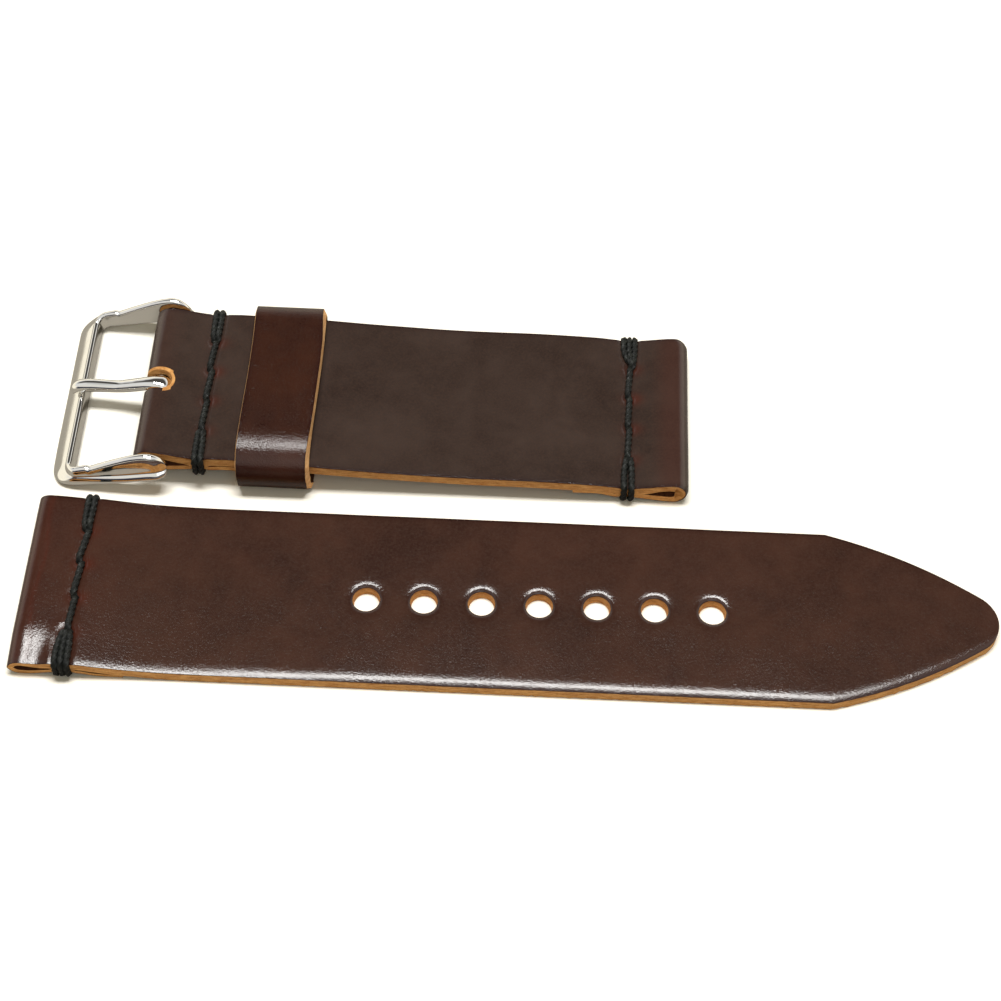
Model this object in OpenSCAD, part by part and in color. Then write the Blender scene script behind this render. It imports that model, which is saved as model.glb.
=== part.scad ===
// Two-piece leather watch strap with a tang buckle, lying flat on a table.
// X runs along the strap, Y across it, Z up from the table. The origin is on the
// table, in the middle of the space that both halves take up together.

/* [Strap] */
// Width of both halves
strap_w = 24; // [20:1:28]
// Length of the long half, from its lug fold to its tip
long_l = 120; // [112:1:130]
// Length of the short half, from the buckle bar to the lug hole
short_l = 66.9; // [62:0.1:76]
// Thickness of the leather
leather_t = 1.6; // [1.4:0.1:1.8]
// Thickness of the turned-back layer at the buckle end
turn_t = 0.8; // [0.6:0.05:1]
// Thickness of the turned-back layer at the lug ends
lug_turn_t = 0.6; // [0.5:0.05:0.8]
// Table between the two halves
lay_gap = 4.9; // [4:0.1:12]
// Fold of the long half to the buckle bar, along the strap
bar_inset = 13; // [10:0.5:16]

/* [Lug ends] */
// Hole for the watch's spring bar, in both halves
lug_hole_d = 1.6; // [1.5:0.05:1.9]
// Leather around that hole on the short half
short_lug_wall = 0.85; // [0.75:0.05:1.1]
// Leather around that hole on the long half
long_lug_wall = 0.8; // [0.7:0.05:1]
// Lug hole to the stitch line on the short half
short_sew_run = 5.8; // [5.4:0.1:7]
// Lug hole to the stitch line on the long half
long_sew_run = 5; // [4.8:0.1:6]
// Lug stitch line to the end of the turned-back layer
lug_turn_run = 7; // [5:0.5:11]

/* [Buckle end] */
// Height of the buckle bar's centre over the table
bar_z = 4; // [3.8:0.05:4.2]
// Drop from the top of the buckle fold to the strap behind it
bar_drop = 0.85; // [0.7:0.05:1]
// Leather around the buckle bar
bar_wall = 0.95; // [0.85:0.05:1.1]
// Play around the buckle bar
bar_play = 0.1; // [0.05:0.05:0.2]
// Buckle bar to its stitch line
bar_sew_run = 6.4; // [6:0.1:8]
// Play at each side of the tongue's eye in its slot
slot_play = 0.45; // [0.3:0.05:0.7]
// Play behind the eye's corners in the slot
slot_end_play = 0.08; // [0.06:0.01:0.3]
// End of the turned-back layer, measured from the bar
turn_end = 18; // [16:0.5:22]

/* [Tail] */
// Length of the pointed end
taper_l = 21; // [17:1:26]
// Radius of its curved sides
taper_r = 100; // [80:5:160]
// Radius of its tip
tip_r = 3.2; // [2.6:0.2:5]
// Diameter of the punched holes
hole_d = 3.2; // [2.6:0.1:3.6]
// Distance from hole to hole
hole_pitch = 7.1; // [6:0.1:7.6]
// Number of holes
hole_n = 7; // [4:1:7]
// Fold of the long half to the first hole
hole_start = 42.1; // [38:0.1:46]

/* [Stitching] */
// Diameter of the waxed thread
thread_d = 0.9; // [0.7:0.05:1]
// Depth that the thread is pulled into the leather
thread_sink = 0.3; // [0.25:0.05:0.4]
// Number of stitch holes in a row
sew_n = 4; // [3:1:6]
// Last stitch hole to the strap's edge
sew_edge = 4.7; // [4:0.1:5.4]
// Diameter of a stitch hole
sew_hole_d = 0.7; // [0.6:0.05:0.8]
// Play between the thread and its grooves
sew_play = 0.03; // [0.02:0.01:0.05]
// Dip of the leather where a row squeezes it
sew_dip = 0.3; // [0.1:0.05:0.4]

/* [Keeper] */
// Width of the keeper along the strap
keeper_w = 9.3; // [7:0.1:11]
// Thickness of the keeper's leather
keeper_t = 1.2; // [1:0.1:1.4]
// Play at each side of the strap
keeper_play = 0.2; // [0.15:0.05:0.4]
// Play over two straps in the keeper
keeper_slack = 0.35; // [0.25:0.05:0.5]
// Its inside floor to the strap that rests over it
keeper_gap = 0.1; // [0.1:0.05:0.3]
// Outer corner radius
keeper_r = 2.8; // [2.2:0.1:3]
// Inner corner radius
keeper_in_r = 0.5; // [0.3:0.1:0.6]
// Buckle bar to the keeper's near side
keeper_at = 11.4; // [10:0.1:13]
// Diameter of the keeper's sewing thread
keeper_thread_d = 0.5; // [0.4:0.05:0.55]

/* [Buckle frame] */
// Play between the strap's edge and each arm
arm_play = 0.3; // [0.2:0.05:0.5]
// Thickness of an arm at its foot
arm_t = 1.9; // [1.7:0.1:2.3]
// Distance that an arm leans in at its crown
arm_lean = 1.2; // [0.8:0.1:1.2]
// Bar to the front bar's inner wall
frame_in = 10; // [9.2:0.1:10]
// Width of the front bar at its foot
front_w = 3.4; // [3:0.1:3.4]
// Height of the front bar
front_h = 1.95; // [1.8:0.05:2.2]
// Height of the bar's centre over the arm's foot
foot_h = 1.4; // [1.2:0.05:1.6]
// Radius of the arms' rounded ends
arm_end_r = 2.6; // [2.4:0.05:2.8]
// Outer corner radius at the foot
foot_corner = 3.4; // [2.8:0.1:3.4]
// Outer corner radius at the crown
crown_corner = 1.6; // [1.2:0.1:2]
// Depth of the sloped lip along the front bar
lip_drop = 0.85; // [0.5:0.05:1]

/* [Tongue] */
// Diameter of the tongue
tongue_d = 1.8; // [1.5:0.05:1.9]
// Outer radius of its eye
eye_r = 1.8; // [1.6:0.05:1.9]
// Width of its eye along the bar
eye_w = 2.4; // [2:0.1:2.8]
// Gap to the front bar when it rests
tongue_rest = 0.06; // [0.03:0.01:0.15]

/* [Spring bar] */
// Diameter of the tube
tube_d = 1.8; // [1.7:0.05:1.9]
// Wall of the tube
tube_wall = 0.24; // [0.2:0.02:0.28]
// Diameter of the pins' tips
pin_d = 0.84; // [0.7:0.02:0.9]
// Depth of a tip in its arm
pin_seat = 0.9; // [0.7:0.05:1]
// Running play between the sliding parts
fit = 0.05; // [0.03:0.01:0.08]
// Thickness of the pins' collars
collar_t = 0.4; // [0.3:0.05:0.5]
// Thickness of the tube's lips
lip_t = 0.5; // [0.4:0.05:0.6]
// Length of the pistons
piston_l = 1.7; // [1.4:0.1:2.2]
// Diameter of the spring's wire
wire_d = 0.22; // [0.16:0.02:0.24]
// Number of turns of the spring
spring_turns = 22; // [16:1:24]

/* [Hidden] */
$fn = 64;
eps = 0.01;

leather = [0.27, 0.15, 0.13];
cut_leather = [0.33, 0.17, 0.13];
waxed = [0.07, 0.08, 0.07];
polished = [0.82, 0.82, 0.83];
wire = [0.66, 0.67, 0.7];

// Places of the two halves on the table
half_w = strap_w / 2;
thread_out = thread_d - thread_sink;
frame_hw = half_w + arm_play + arm_t;
lay_step = strap_w + lay_gap;
long_y = -(lay_step + frame_hw - half_w - thread_out) / 2;
short_y = long_y + lay_step;
long_x = -long_l / 2;
bar_x = long_x + bar_inset;

// Folds
bar_r = tube_d / 2;
fold_in_r = bar_r + bar_play;
fold_r = fold_in_r + bar_wall;
lug_hole_r = lug_hole_d / 2;
short_lug_r = lug_hole_r + short_lug_wall;
long_lug_r = lug_hole_r + long_lug_wall;
short_sew = short_l - short_sew_run;
long_sew = long_lug_r + long_sew_run;

// Stitching: strands lie side by side where a row wraps the strap's edge
strand_step = thread_d * 0.9;
sew_flat = 1.6 * strand_step;
thread_mid = thread_d / 2 - thread_sink;
sew_pitch = (strap_w - 2 * sew_edge) / (sew_n - 1);

// Heights of the short half over the table. It runs just over the keeper's underside.
run_top = keeper_t + keeper_gap + lug_turn_t + leather_t;
run_foot = run_top - leather_t;
run_turn_foot = keeper_t + keeper_gap;
bar_top = bar_z + fold_r;
neck_top = bar_top - bar_drop;
bar_sew_top = neck_top - sew_dip / 2;
bar_sew_foot = bar_sew_top - leather_t - turn_t;
turn_slope = 1.4;
short_sew_foot = thread_out + 0.1;
short_sew_top = short_sew_foot + leather_t + lug_turn_t - 0.1;
long_sew_foot = thread_out + 0.1;
long_sew_top = long_sew_foot + leather_t + lug_turn_t - 0.1;

// Lengths over which the leather eases from one height to the next
lug_ease = 2.2;
bar_ease = 1.5;
run_ease = 23;
turn_ease = 3;
neck_at = bar_sew_run + sew_flat + bar_ease;
run_at = short_sew - run_ease;

// Keeper
keeper_in_w = strap_w + 2 * keeper_play;
keeper_in_h = 2 * leather_t + turn_t + keeper_slack;
keeper_out_w = keeper_in_w + 2 * keeper_t;
keeper_h = keeper_in_h + 2 * keeper_t;
keeper_sew_step = keeper_w * 0.28;
keeper_dash_z = keeper_thread_d / 2 + sew_play;

// Buckle: its frame leans on its front edge, so it is tilted about the bar
arm_in = half_w + arm_play;
frame_front = frame_in + front_w;
front_reach = norm([frame_front, foot_h]);
tilt = asin(bar_z / front_reach) - atan2(foot_h, frame_front);
crest = [-frame_in - 0.18 * front_w, front_h - foot_h];
ridge_x = crest[0] + 0.2;
lip_run = 0.5;
crest_x = crest[0] * cos(tilt) - crest[1] * sin(tilt);
crest_z = crest[0] * sin(tilt) + crest[1] * cos(tilt);

// Tongue: its slot in the fold, and points of its centre line measured from the bar
slot_r = eye_w / 2 + slot_play;
slot_end = eye_r + slot_end_play - sqrt(slot_r * slot_r - eye_w * eye_w / 4);
tongue_r = tongue_d / 2;
tongue_top = [-0.1, bar_r + fit + 0.1];
tongue_over = [crest_x, crest_z + tongue_r + tongue_rest];
tongue_dip = [crest_x * 0.55, tongue_over[1] - 0.06];
tongue_tip = [crest_x - 0.8, tongue_over[1] - 0.15];

// Spring bar: pins move in by the depth of their tips in the arms
pin_r = pin_d / 2;
pin_travel = pin_seat + fit;
collar_gap = 0.2;
collar_out = arm_in - collar_gap;
collar_in = collar_out - collar_t;
collar_r = bar_r - 0.15;
tube_end = collar_in - pin_travel - 0.15;
tube_in_r = bar_r - tube_wall;
piston_r = tube_in_r - fit;
piston_out = tube_end - lip_t - fit;
piston_in = piston_out - piston_l;
spring_half = piston_in - wire_d / 2 - 0.02;
spring_r = piston_r - wire_d / 2 - 0.04;

// Height between two knots, with a level start and end
function blend(a, b, t) = a + (b - a) * (1 - cos(180 * t)) / 2;

// Points of a line through knots: straight where level, else rounded at both ends
function trace(knots, n = 7) = [
  for (i = [0:len(knots) - 2])
    let (a = knots[i], b = knots[i + 1], steps = a[1] == b[1] ? 1 : n)
    for (j = [0:steps - 1])
      [a[0] + (b[0] - a[0]) * j / steps, blend(a[1], b[1], j / steps)],
  knots[len(knots) - 1]];

// Numbers from a to b in n equal steps
function span(a, b, n) = [for (j = [0:n]) a + (b - a) * j / n];

function backwards(list) = [for (i = [len(list) - 1:-1:0]) list[i]];

// Outline of a strap seen from its edge, between the lines of its top and underside
module between(top, foot) {
  polygon(concat(foot, backwards(top)));
}

// Knots where a strap's top and underside run into a round fold, then inside it. dir
// is the side of the fold's centre that the strap comes from.
function fold_knots(x, z, r, dir, face) =
  [[x + dir * 0.36 * r, z + face * 0.925 * r], [x - dir * 0.2 * r, z + face * 0.5 * r]];

// Hole of a lug fold with the slit that closes towards the stitches, on the side dir
module lug_opening(r, run, dir) {
  neck = 43;
  circle(r = r);
  polygon([[0, 0], [dir * r * cos(neck), r * sin(neck)], [dir * run, 0],
    [dir * r * cos(neck), -r * sin(neck)]]);
}

// Turns an outline drawn along X and Z into a strip across Y, centred on Y = 0
module strip(w) {
  translate([0, w / 2, 0]) rotate([90, 0, 0]) linear_extrude(w) children();
}

module rod_y(r, from, to) {
  translate([0, from, 0]) rotate([-90, 0, 0]) cylinder(r = r, h = to - from);
}

// One sewn row at X = 0: strands over and under the strap, thread in each hole, and
// a number of strands round the far and the near edge. grow makes the groove for it.
module sewing(top, foot, far, near, grow = 0) {
  r = thread_d / 2 + grow;
  zt = top + thread_mid;
  zf = foot - thread_mid;
  yo = half_w + thread_mid;
  last = half_w - sew_edge;
  for (z = [zt, zf]) {
    translate([0, 0, z]) rod_y(r, -last, last);
    translate([0, -last, z]) sphere(r = r);
    translate([0, last, z]) sphere(r = r);
  }
  for (i = [0:sew_n - 1])
    translate([0, -last + i * sew_pitch, zf])
      cylinder(r = sew_hole_d / 2 - sew_play + grow, h = zt - zf);
  for (side = [[1, far], [-1, near]])
    for (k = [0:side[1] - 1])
      translate([(k - (side[1] - 1) / 2) * strand_step, 0, 0]) {
        for (z = [zt, zf]) {
          translate([0, side[0] * (last + yo) / 2, z]) rotate([90, 0, 0])
            cylinder(r = r, h = yo - last, center = true);
          translate([0, side[0] * yo, z]) sphere(r = r);
        }
        translate([0, side[0] * yo, zf]) cylinder(r = r, h = zt - zf);
      }
}

module bar_sewing(grow = 0) {
  translate([bar_sew_run, 0, 0]) sewing(bar_sew_top, bar_sew_foot, 2, 2, grow);
}

module short_sewing(grow = 0) {
  translate([short_sew, 0, 0]) sewing(short_sew_top, short_sew_foot, 3, 2, grow);
}

module long_sewing(grow = 0) {
  translate([long_sew, 0, 0]) sewing(long_sew_top, long_sew_foot, 2, 3, grow);
}

// Top of the short half where it drops from the buckle to the level run
function drop_z(x) = blend(neck_top, run_top, (x - neck_at) / (run_at - neck_at));

// Short half from its edge, with X = 0 at the buckle bar
module short_outline() {
  top = concat(backwards(fold_knots(0, bar_z, fold_r, 1, 1)),
    [[bar_sew_run - sew_flat, bar_sew_top], [bar_sew_run + sew_flat, bar_sew_top],
    [neck_at, neck_top], [run_at, run_top], [short_sew - sew_flat - lug_ease, run_top],
    [short_sew - sew_flat, short_sew_top], [short_sew + sew_flat, short_sew_top]],
    fold_knots(short_l, short_lug_r, short_lug_r, -1, 1));
  foot_start = concat(backwards(fold_knots(0, bar_z, fold_r, 1, -1)),
    [[bar_sew_run - sew_flat, bar_sew_foot], [bar_sew_run + sew_flat, bar_sew_foot],
    [neck_at - eps, neck_top - leather_t - turn_t]]);
  foot_drop = concat(
    [for (x = span(neck_at, turn_end - turn_slope, 3)) [x, drop_z(x) - leather_t - turn_t]],
    [for (x = span(turn_end, run_at, 6)) [x, drop_z(x) - leather_t]]);
  foot_end = concat([[short_sew - lug_turn_run - turn_ease, run_foot],
    [short_sew - lug_turn_run, run_turn_foot],
    [short_sew - sew_flat - lug_ease, run_turn_foot], [short_sew - sew_flat, short_sew_foot],
    [short_sew + sew_flat, short_sew_foot]],
    fold_knots(short_l, short_lug_r, short_lug_r, -1, -1));
  difference() {
    union() {
      between(trace(top), concat(trace(foot_start), foot_drop, trace(foot_end)));
      translate([0, bar_z]) circle(r = fold_r);
      translate([short_l, short_lug_r]) circle(r = short_lug_r);
    }
    translate([0, bar_z]) {
      circle(r = fold_in_r);
      polygon([[0, fold_in_r], [bar_sew_run - sew_flat - 0.4, -0.5], [0, -fold_in_r]]);
    }
    translate([short_l, short_lug_r]) lug_opening(lug_hole_r, short_sew_run - sew_flat - 0.3, -1);
  }
}

// Oval slot through the buckle fold, where the tongue turns
module tongue_slot() {
  translate([-2 * fold_r, -slot_r, 0]) cube([2 * fold_r + slot_end, 2 * slot_r, bar_top + 1]);
  translate([slot_end, 0, 0]) cylinder(r = slot_r, h = bar_top + 1);
}

module short_strap() color(leather) translate([bar_x, short_y, 0]) {
  difference() {
    strip(strap_w) short_outline();
    tongue_slot();
    bar_sewing(sew_play);
    short_sewing(sew_play);
  }
}

// Long half from its edge, with X = 0 at its fold
module long_outline() {
  top = concat(backwards(fold_knots(long_lug_r, long_lug_r, long_lug_r, 1, 1)),
    [[long_sew - sew_flat, long_sew_top], [long_sew + sew_flat, long_sew_top],
    [long_sew + lug_turn_run + 2 * turn_ease, leather_t], [long_l, leather_t]]);
  foot = concat(backwards(fold_knots(long_lug_r, long_lug_r, long_lug_r, 1, -1)),
    [[long_sew - sew_flat, long_sew_foot], [long_sew + sew_flat, long_sew_foot],
    [long_sew + sew_flat + lug_ease, 0], [long_sew + lug_turn_run - lug_turn_t, 0],
    [long_sew + lug_turn_run, 0.8 * lug_turn_t],
    [long_sew + lug_turn_run + 2 * turn_ease, 0], [long_l, 0]]);
  difference() {
    union() {
      between(trace(top), trace(foot));
      translate([long_lug_r, long_lug_r]) circle(r = long_lug_r);
    }
    translate([long_lug_r, long_lug_r]) lug_opening(lug_hole_r, long_sew_run - sew_flat - 0.5, 1);
  }
}

// Plan of the long half: straight, then two curved sides that meet a round tip
module tail_plan() {
  from = long_l - taper_l;
  nose = [long_l - tip_r, 0];
  corner = [from, half_w];
  // centre of the far side's curve, as far from the corner as taper_r, and from the
  // nose's centre as taper_r less tip_r
  d = norm(corner - nose);
  along = (taper_r * taper_r - (taper_r - tip_r) * (taper_r - tip_r) + d * d) / (2 * d);
  off = sqrt(taper_r * taper_r - along * along);
  u = (nose - corner) / d;
  c = corner + along * u + off * [u[1], -u[0]];
  meet = nose + tip_r * (nose - c) / norm(nose - c);
  translate([0, -half_w]) square([from, strap_w]);
  intersection() {
    translate([from - eps, -half_w]) square([meet[0] - from + eps, strap_w]);
    translate(c) circle(r = taper_r, $fn = 256);
    translate([c[0], -c[1]]) circle(r = taper_r, $fn = 256);
  }
  translate(nose) circle(r = tip_r);
}

module long_strap() color(leather) translate([long_x, long_y, 0]) {
  difference() {
    intersection() {
      strip(strap_w) long_outline();
      linear_extrude(2 * long_lug_r + 1) tail_plan();
    }
    for (i = [0:hole_n - 1])
      translate([hole_start + i * hole_pitch, 0, -1]) cylinder(d = hole_d, h = leather_t + 2);
    long_sewing(sew_play);
  }
}

module rounded_box(w, h, r) {
  translate([r - w / 2, 0]) square([w - 2 * r, h]);
  translate([-w / 2, r]) square([w, h - 2 * r]);
  for (x = [r - w / 2, w / 2 - r]) for (y = [r, h - r]) translate([x, y]) circle(r = r);
}

// The keeper's ends are lapped in its underside and sewn along the middle
module keeper_sewing(grow = 0) {
  r = keeper_thread_d / 2 + grow;
  for (z = [keeper_dash_z, keeper_t - keeper_dash_z]) translate([0, 0, z]) {
    rotate([0, 90, 0]) cylinder(r = r, h = 2 * keeper_sew_step, center = true);
    for (s = [-1, 1]) translate([s * keeper_sew_step, 0, 0]) sphere(r = r);
  }
  for (s = [-1:1]) translate([s * keeper_sew_step, 0, keeper_dash_z])
    cylinder(r = r, h = keeper_t - 2 * keeper_dash_z);
}

module keeper_seat() {
  translate([bar_x + keeper_at + keeper_w / 2, short_y, 0]) children();
}

module keeper() color(cut_leather) keeper_seat() difference() {
  translate([-keeper_w / 2, 0, 0]) rotate([90, 0, 90]) linear_extrude(keeper_w) difference() {
    rounded_box(keeper_out_w, keeper_h, keeper_r);
    translate([0, keeper_t]) rounded_box(keeper_in_w, keeper_in_h, keeper_in_r);
  }
  keeper_sewing(sew_play);
  // the grooves are open to the table and to the strap
  for (z = [-keeper_t / 2, 1.5 * keeper_t]) translate([0, 0, z])
    cube([2 * keeper_sew_step, keeper_thread_d, keeper_t + 2 * keeper_dash_z], center = true);
}

module keeper_stitch() color(waxed) keeper_seat() keeper_sewing();

// Everything on the buckle bar is drawn round the bar's centre
module at_bar() {
  translate([bar_x, short_y, bar_z]) children();
}

// Outline of the frame from its side, before it is tilted
module frame_side() {
  circle(r = arm_end_r);
  polygon([[0.3, 0.3], [-0.35 * arm_end_r, 0.92 * arm_end_r], [-frame_in + 0.8, crest[1] + 0.1],
    crest, [crest[0] - 0.5, crest[1] - 0.1], [-frame_front, 0.35 - foot_h],
    [-frame_front - 1, -2 * foot_h], [0, -2 * foot_h], [0.3, -0.3]]);
}

// Body of the frame, narrower at its top than at its foot, with rounded front corners
module frame_body() {
  // the rear blocks only stretch the hull past the arms' round ends
  foot_t = 0.3;
  block = 1;
  rear = arm_end_r + block;
  crown_front = frame_in - 0.9;
  hull() for (s = [-1, 1]) {
    translate([foot_corner - frame_front, s * (frame_hw - foot_corner), -foot_h])
      cylinder(r = foot_corner, h = foot_t, $fn = 32);
    translate([rear, s * (frame_hw - block / 2), foot_t / 2 - foot_h])
      cube([block, block, foot_t], center = true);
    translate([crown_corner - crown_front, s * (frame_hw - arm_lean - crown_corner), arm_end_r])
      cylinder(r = crown_corner, h = foot_t / 3, $fn = 32);
    translate([rear, s * (frame_hw - arm_lean - block / 2), arm_end_r])
      cube([block, block, foot_t], center = true);
  }
}

module buckle_frame() color(polished) at_bar() difference() {
  rotate([0, -tilt, 0]) difference() {
    intersection() {
      frame_body();
      strip(3 * strap_w) frame_side();
    }
    // space between the arms
    translate([-frame_in, -arm_in, -2 * foot_h]) cube([3 * frame_in, 2 * arm_in, 4 * arm_end_r]);
    // sloped inner lip of the front bar
    strip(2 * arm_in) polygon([[lip_run - frame_in, crest[1] - lip_drop], [ridge_x, crest[1]],
      [ridge_x, 2 * arm_end_r], [lip_run - frame_in, 2 * arm_end_r]]);
  }
  for (s = [-1, 1]) scale([1, s, 1]) rod_y(pin_r + fit, arm_in - 0.5, arm_in + pin_seat + 0.2);
}

// Solid through rings of points, each ring turned left-handed round the way it goes
module sweep(rings) {
  n = len(rings[0]);
  last = len(rings) - 1;
  polyhedron([for (ring = rings) each ring], concat(
    [[for (k = [0:n - 1]) k]],
    [for (i = [0:last - 1]) for (k = [0:n - 1]) let (m = (k + 1) % n)
      each [[i * n + k, (i + 1) * n + k, (i + 1) * n + m], [i * n + k, (i + 1) * n + m, i * n + m]]],
    [[for (k = [n - 1:-1:0]) last * n + k]]));
}

// Ring of radius r round a point of the XZ plane, square to the direction d
function rod_ring(p, d, r, sides) = [for (k = [0:sides - 1]) let (b = k * 360 / sides)
  [p[0] + r * cos(b) * d[1], r * sin(b), p[1] - r * cos(b) * d[0]]];

// Rings of a rod through knots of the XZ plane, with a round end
function rod_rings(knots, r, sides) =
  let (line = trace(knots, 5), n = len(line) - 1,
    way = [for (i = [0:n]) let (d = line[min(i + 1, n)] - line[max(i - 1, 0)]) d / norm(d)])
  concat([for (i = [0:n]) rod_ring(line[i], way[i], r, sides)],
    [for (a = [25, 50, 72]) rod_ring(line[n] + r * sin(a) * way[n], way[n], r * cos(a), sides)]);

module tongue() color(polished) at_bar() difference() {
  union() {
    rod_y(eye_r, -eye_w / 2, eye_w / 2);
    sweep(rod_rings([tongue_top, tongue_dip, tongue_over, tongue_tip], tongue_r, 16));
  }
  rod_y(bar_r + fit, -eye_w, eye_w);
}

module spring_bar_tube() color(polished) at_bar() rotate([-90, 0, 0]) difference() {
  translate([0, 0, -tube_end]) cylinder(r = bar_r, h = 2 * tube_end);
  translate([0, 0, lip_t - tube_end]) cylinder(r = tube_in_r, h = 2 * (tube_end - lip_t));
  translate([0, 0, -tube_end - 1]) cylinder(r = pin_r + fit, h = 2 * tube_end + 2);
}

// A pin that points to +Y: a piston in the tube, a neck, a collar and a tip
module pin() {
  rod_y(piston_r, piston_in, piston_out);
  rod_y(pin_r, piston_out - eps, arm_in + pin_seat - 0.25 * pin_r);
  rod_y(0.75 * pin_r, arm_in + pin_seat - 0.3 * pin_r, arm_in + pin_seat);
  rod_y(collar_r, collar_in, collar_out);
}

module spring_bar_pin_near() color(polished) at_bar() mirror([0, 1, 0]) pin();

module spring_bar_pin_far() color(polished) at_bar() pin();

// Helix of the spring, as a tube with rings along its turns
function helix_point(a) = let (y = -spring_half + 2 * spring_half * a / (360 * spring_turns))
  [spring_r * cos(a), y, spring_r * sin(a)];

module spring_bar_spring() color(wire) at_bar() {
  per_turn = 8;
  sides = 6;
  sweep([for (i = [0:spring_turns * per_turn]) let (a = i * 360 / per_turn)
    [for (k = [0:sides - 1]) let (b = k * 360 / sides)
      helix_point(a) + wire_d / 2 * (cos(b) * [cos(a), 0, sin(a)] + sin(b) * [0, 1, 0])]]);
}

module buckle_end_stitch() color(waxed) translate([bar_x, short_y, 0]) bar_sewing();

module short_lug_stitch() color(waxed) translate([bar_x, short_y, 0]) short_sewing();

module long_lug_stitch() color(waxed) translate([long_x, long_y, 0]) long_sewing();

short_strap();
long_strap();
keeper();
keeper_stitch();
buckle_frame();
tongue();
spring_bar_tube();
spring_bar_pin_near();
spring_bar_pin_far();
spring_bar_spring();
buckle_end_stitch();
short_lug_stitch();
long_lug_stitch();
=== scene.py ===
import math

import bmesh
import bpy
import numpy as np
from mathutils import Matrix, Vector, noise


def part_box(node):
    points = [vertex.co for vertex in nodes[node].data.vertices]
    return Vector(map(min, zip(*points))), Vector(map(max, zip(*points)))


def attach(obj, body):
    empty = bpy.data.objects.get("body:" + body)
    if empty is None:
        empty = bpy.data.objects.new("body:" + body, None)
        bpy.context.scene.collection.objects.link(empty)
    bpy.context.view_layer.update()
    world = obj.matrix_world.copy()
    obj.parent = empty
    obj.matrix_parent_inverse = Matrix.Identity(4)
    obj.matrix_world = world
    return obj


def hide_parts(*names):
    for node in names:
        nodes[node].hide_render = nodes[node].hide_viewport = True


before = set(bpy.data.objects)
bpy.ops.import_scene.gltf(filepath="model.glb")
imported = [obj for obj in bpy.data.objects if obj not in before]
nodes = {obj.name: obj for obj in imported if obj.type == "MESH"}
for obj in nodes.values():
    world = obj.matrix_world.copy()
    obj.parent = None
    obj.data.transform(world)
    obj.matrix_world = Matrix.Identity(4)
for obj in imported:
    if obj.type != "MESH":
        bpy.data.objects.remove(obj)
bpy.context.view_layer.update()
mm = 0.001
# the same unevenness at every run
noise.seed_set(11)


# Selection, and a mesh's points as an array in millimetres

def clearSelection():
    if bpy.context.object and bpy.context.object.mode != "OBJECT":
        bpy.ops.object.mode_set(mode="OBJECT")
    bpy.ops.object.select_all(action="DESELECT")


def only(piece):
    clearSelection()
    piece.select_set(True)
    bpy.context.view_layer.objects.active = piece


def editMesh(piece):
    only(piece)
    bpy.ops.object.mode_set(mode="EDIT")
    bpy.ops.mesh.select_all(action="DESELECT")
    return bmesh.from_edit_mesh(piece.data)


def leaveEdit():
    bpy.ops.object.mode_set(mode="OBJECT")


def selectFaces(piece, chosen):
    # in edit mode, the faces whose middle, in millimetres, is among the chosen
    mesh = editMesh(piece)
    for face in mesh.faces:
        if chosen(face.calc_center_median() / mm):
            face.select_set(True)
    bmesh.update_edit_mesh(piece.data)
    return mesh


def readPoints(piece):
    flat = np.zeros(len(piece.data.vertices) * 3)
    piece.data.vertices.foreach_get("co", flat)
    return flat.reshape(-1, 3) / mm


def writePoints(piece, points):
    piece.data.vertices.foreach_set("co", (points * mm).ravel())
    piece.data.update()


def applyModifiers(piece):
    only(piece)
    for modifier in list(piece.modifiers):
        bpy.ops.object.modifier_apply(modifier=modifier.name)


def joinPieces(pieces, name):
    clearSelection()
    for piece in pieces:
        piece.select_set(True)
    bpy.context.view_layer.objects.active = pieces[0]
    bpy.ops.object.join()
    pieces[0].name = name
    return pieces[0]


def smoothFaces(piece, angle):
    only(piece)
    bpy.ops.object.shade_smooth_by_angle(angle=math.radians(angle))


def setMaterials(piece, materials):
    piece.data.materials.clear()
    for material in materials:
        piece.data.materials.append(material)


def paint(piece, name, values):
    layer = piece.data.attributes.get(name) or piece.data.attributes.new(name, "FLOAT", "POINT")
    layer.data.foreach_set("value", np.asarray(values, dtype=np.float32))


# Lines: a smooth curve through knots, cut into steps of given lengths

def curveThrough(knots, fine=24):
    points = np.array(knots, float)
    ends = np.vstack([2 * points[0] - points[1], points, 2 * points[-1] - points[-2]])
    line = []
    for a, b, c, d in zip(ends, ends[1:], ends[2:], ends[3:]):
        r, s, t = [max(np.linalg.norm(q - p), 1e-9) ** 0.5 for p, q in ((a, b), (b, c), (c, d))]
        leave = s * ((b - a) / r - (c - a) / (r + s) + (c - b) / s)
        arrive = s * ((c - b) / s - (d - b) / (s + t) + (d - c) / t)
        for u in np.linspace(0, 1, fine, endpoint=False):
            line.append((2 * u**3 - 3 * u**2 + 1) * b + (u**3 - 2 * u**2 + u) * leave
                        + (3 * u**2 - 2 * u**3) * c + (u**3 - u**2) * arrive)
    line.append(ends[-2])
    return np.array(line)


def lengthsAlong(line):
    return np.concatenate([[0], np.cumsum(np.linalg.norm(np.diff(line, axis=0), axis=1))])


def cutLine(line, stepAt):
    along = lengthsAlong(line)

    def at(length):
        return [np.interp(length, along, values) for values in line.T]
    places = [0.0]
    while places[-1] < along[-1]:
        places.append(places[-1] + stepAt(at(places[-1])))
    return np.array([at(place * along[-1] / places[-1]) for place in places])


def wayAt(line, k):
    way = line[min(k + 1, len(line) - 1)] - line[max(k - 1, 0)]
    return way / np.linalg.norm(way)


def nearest(line, points):
    return np.array([np.argmin(((line - p) ** 2).sum(1)) for p in points])


def arcPoints(centre, radius, degrees):
    turns = np.radians(degrees)
    return list(zip(centre[0] + radius * np.cos(turns), centre[1] + radius * np.sin(turns)))


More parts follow.
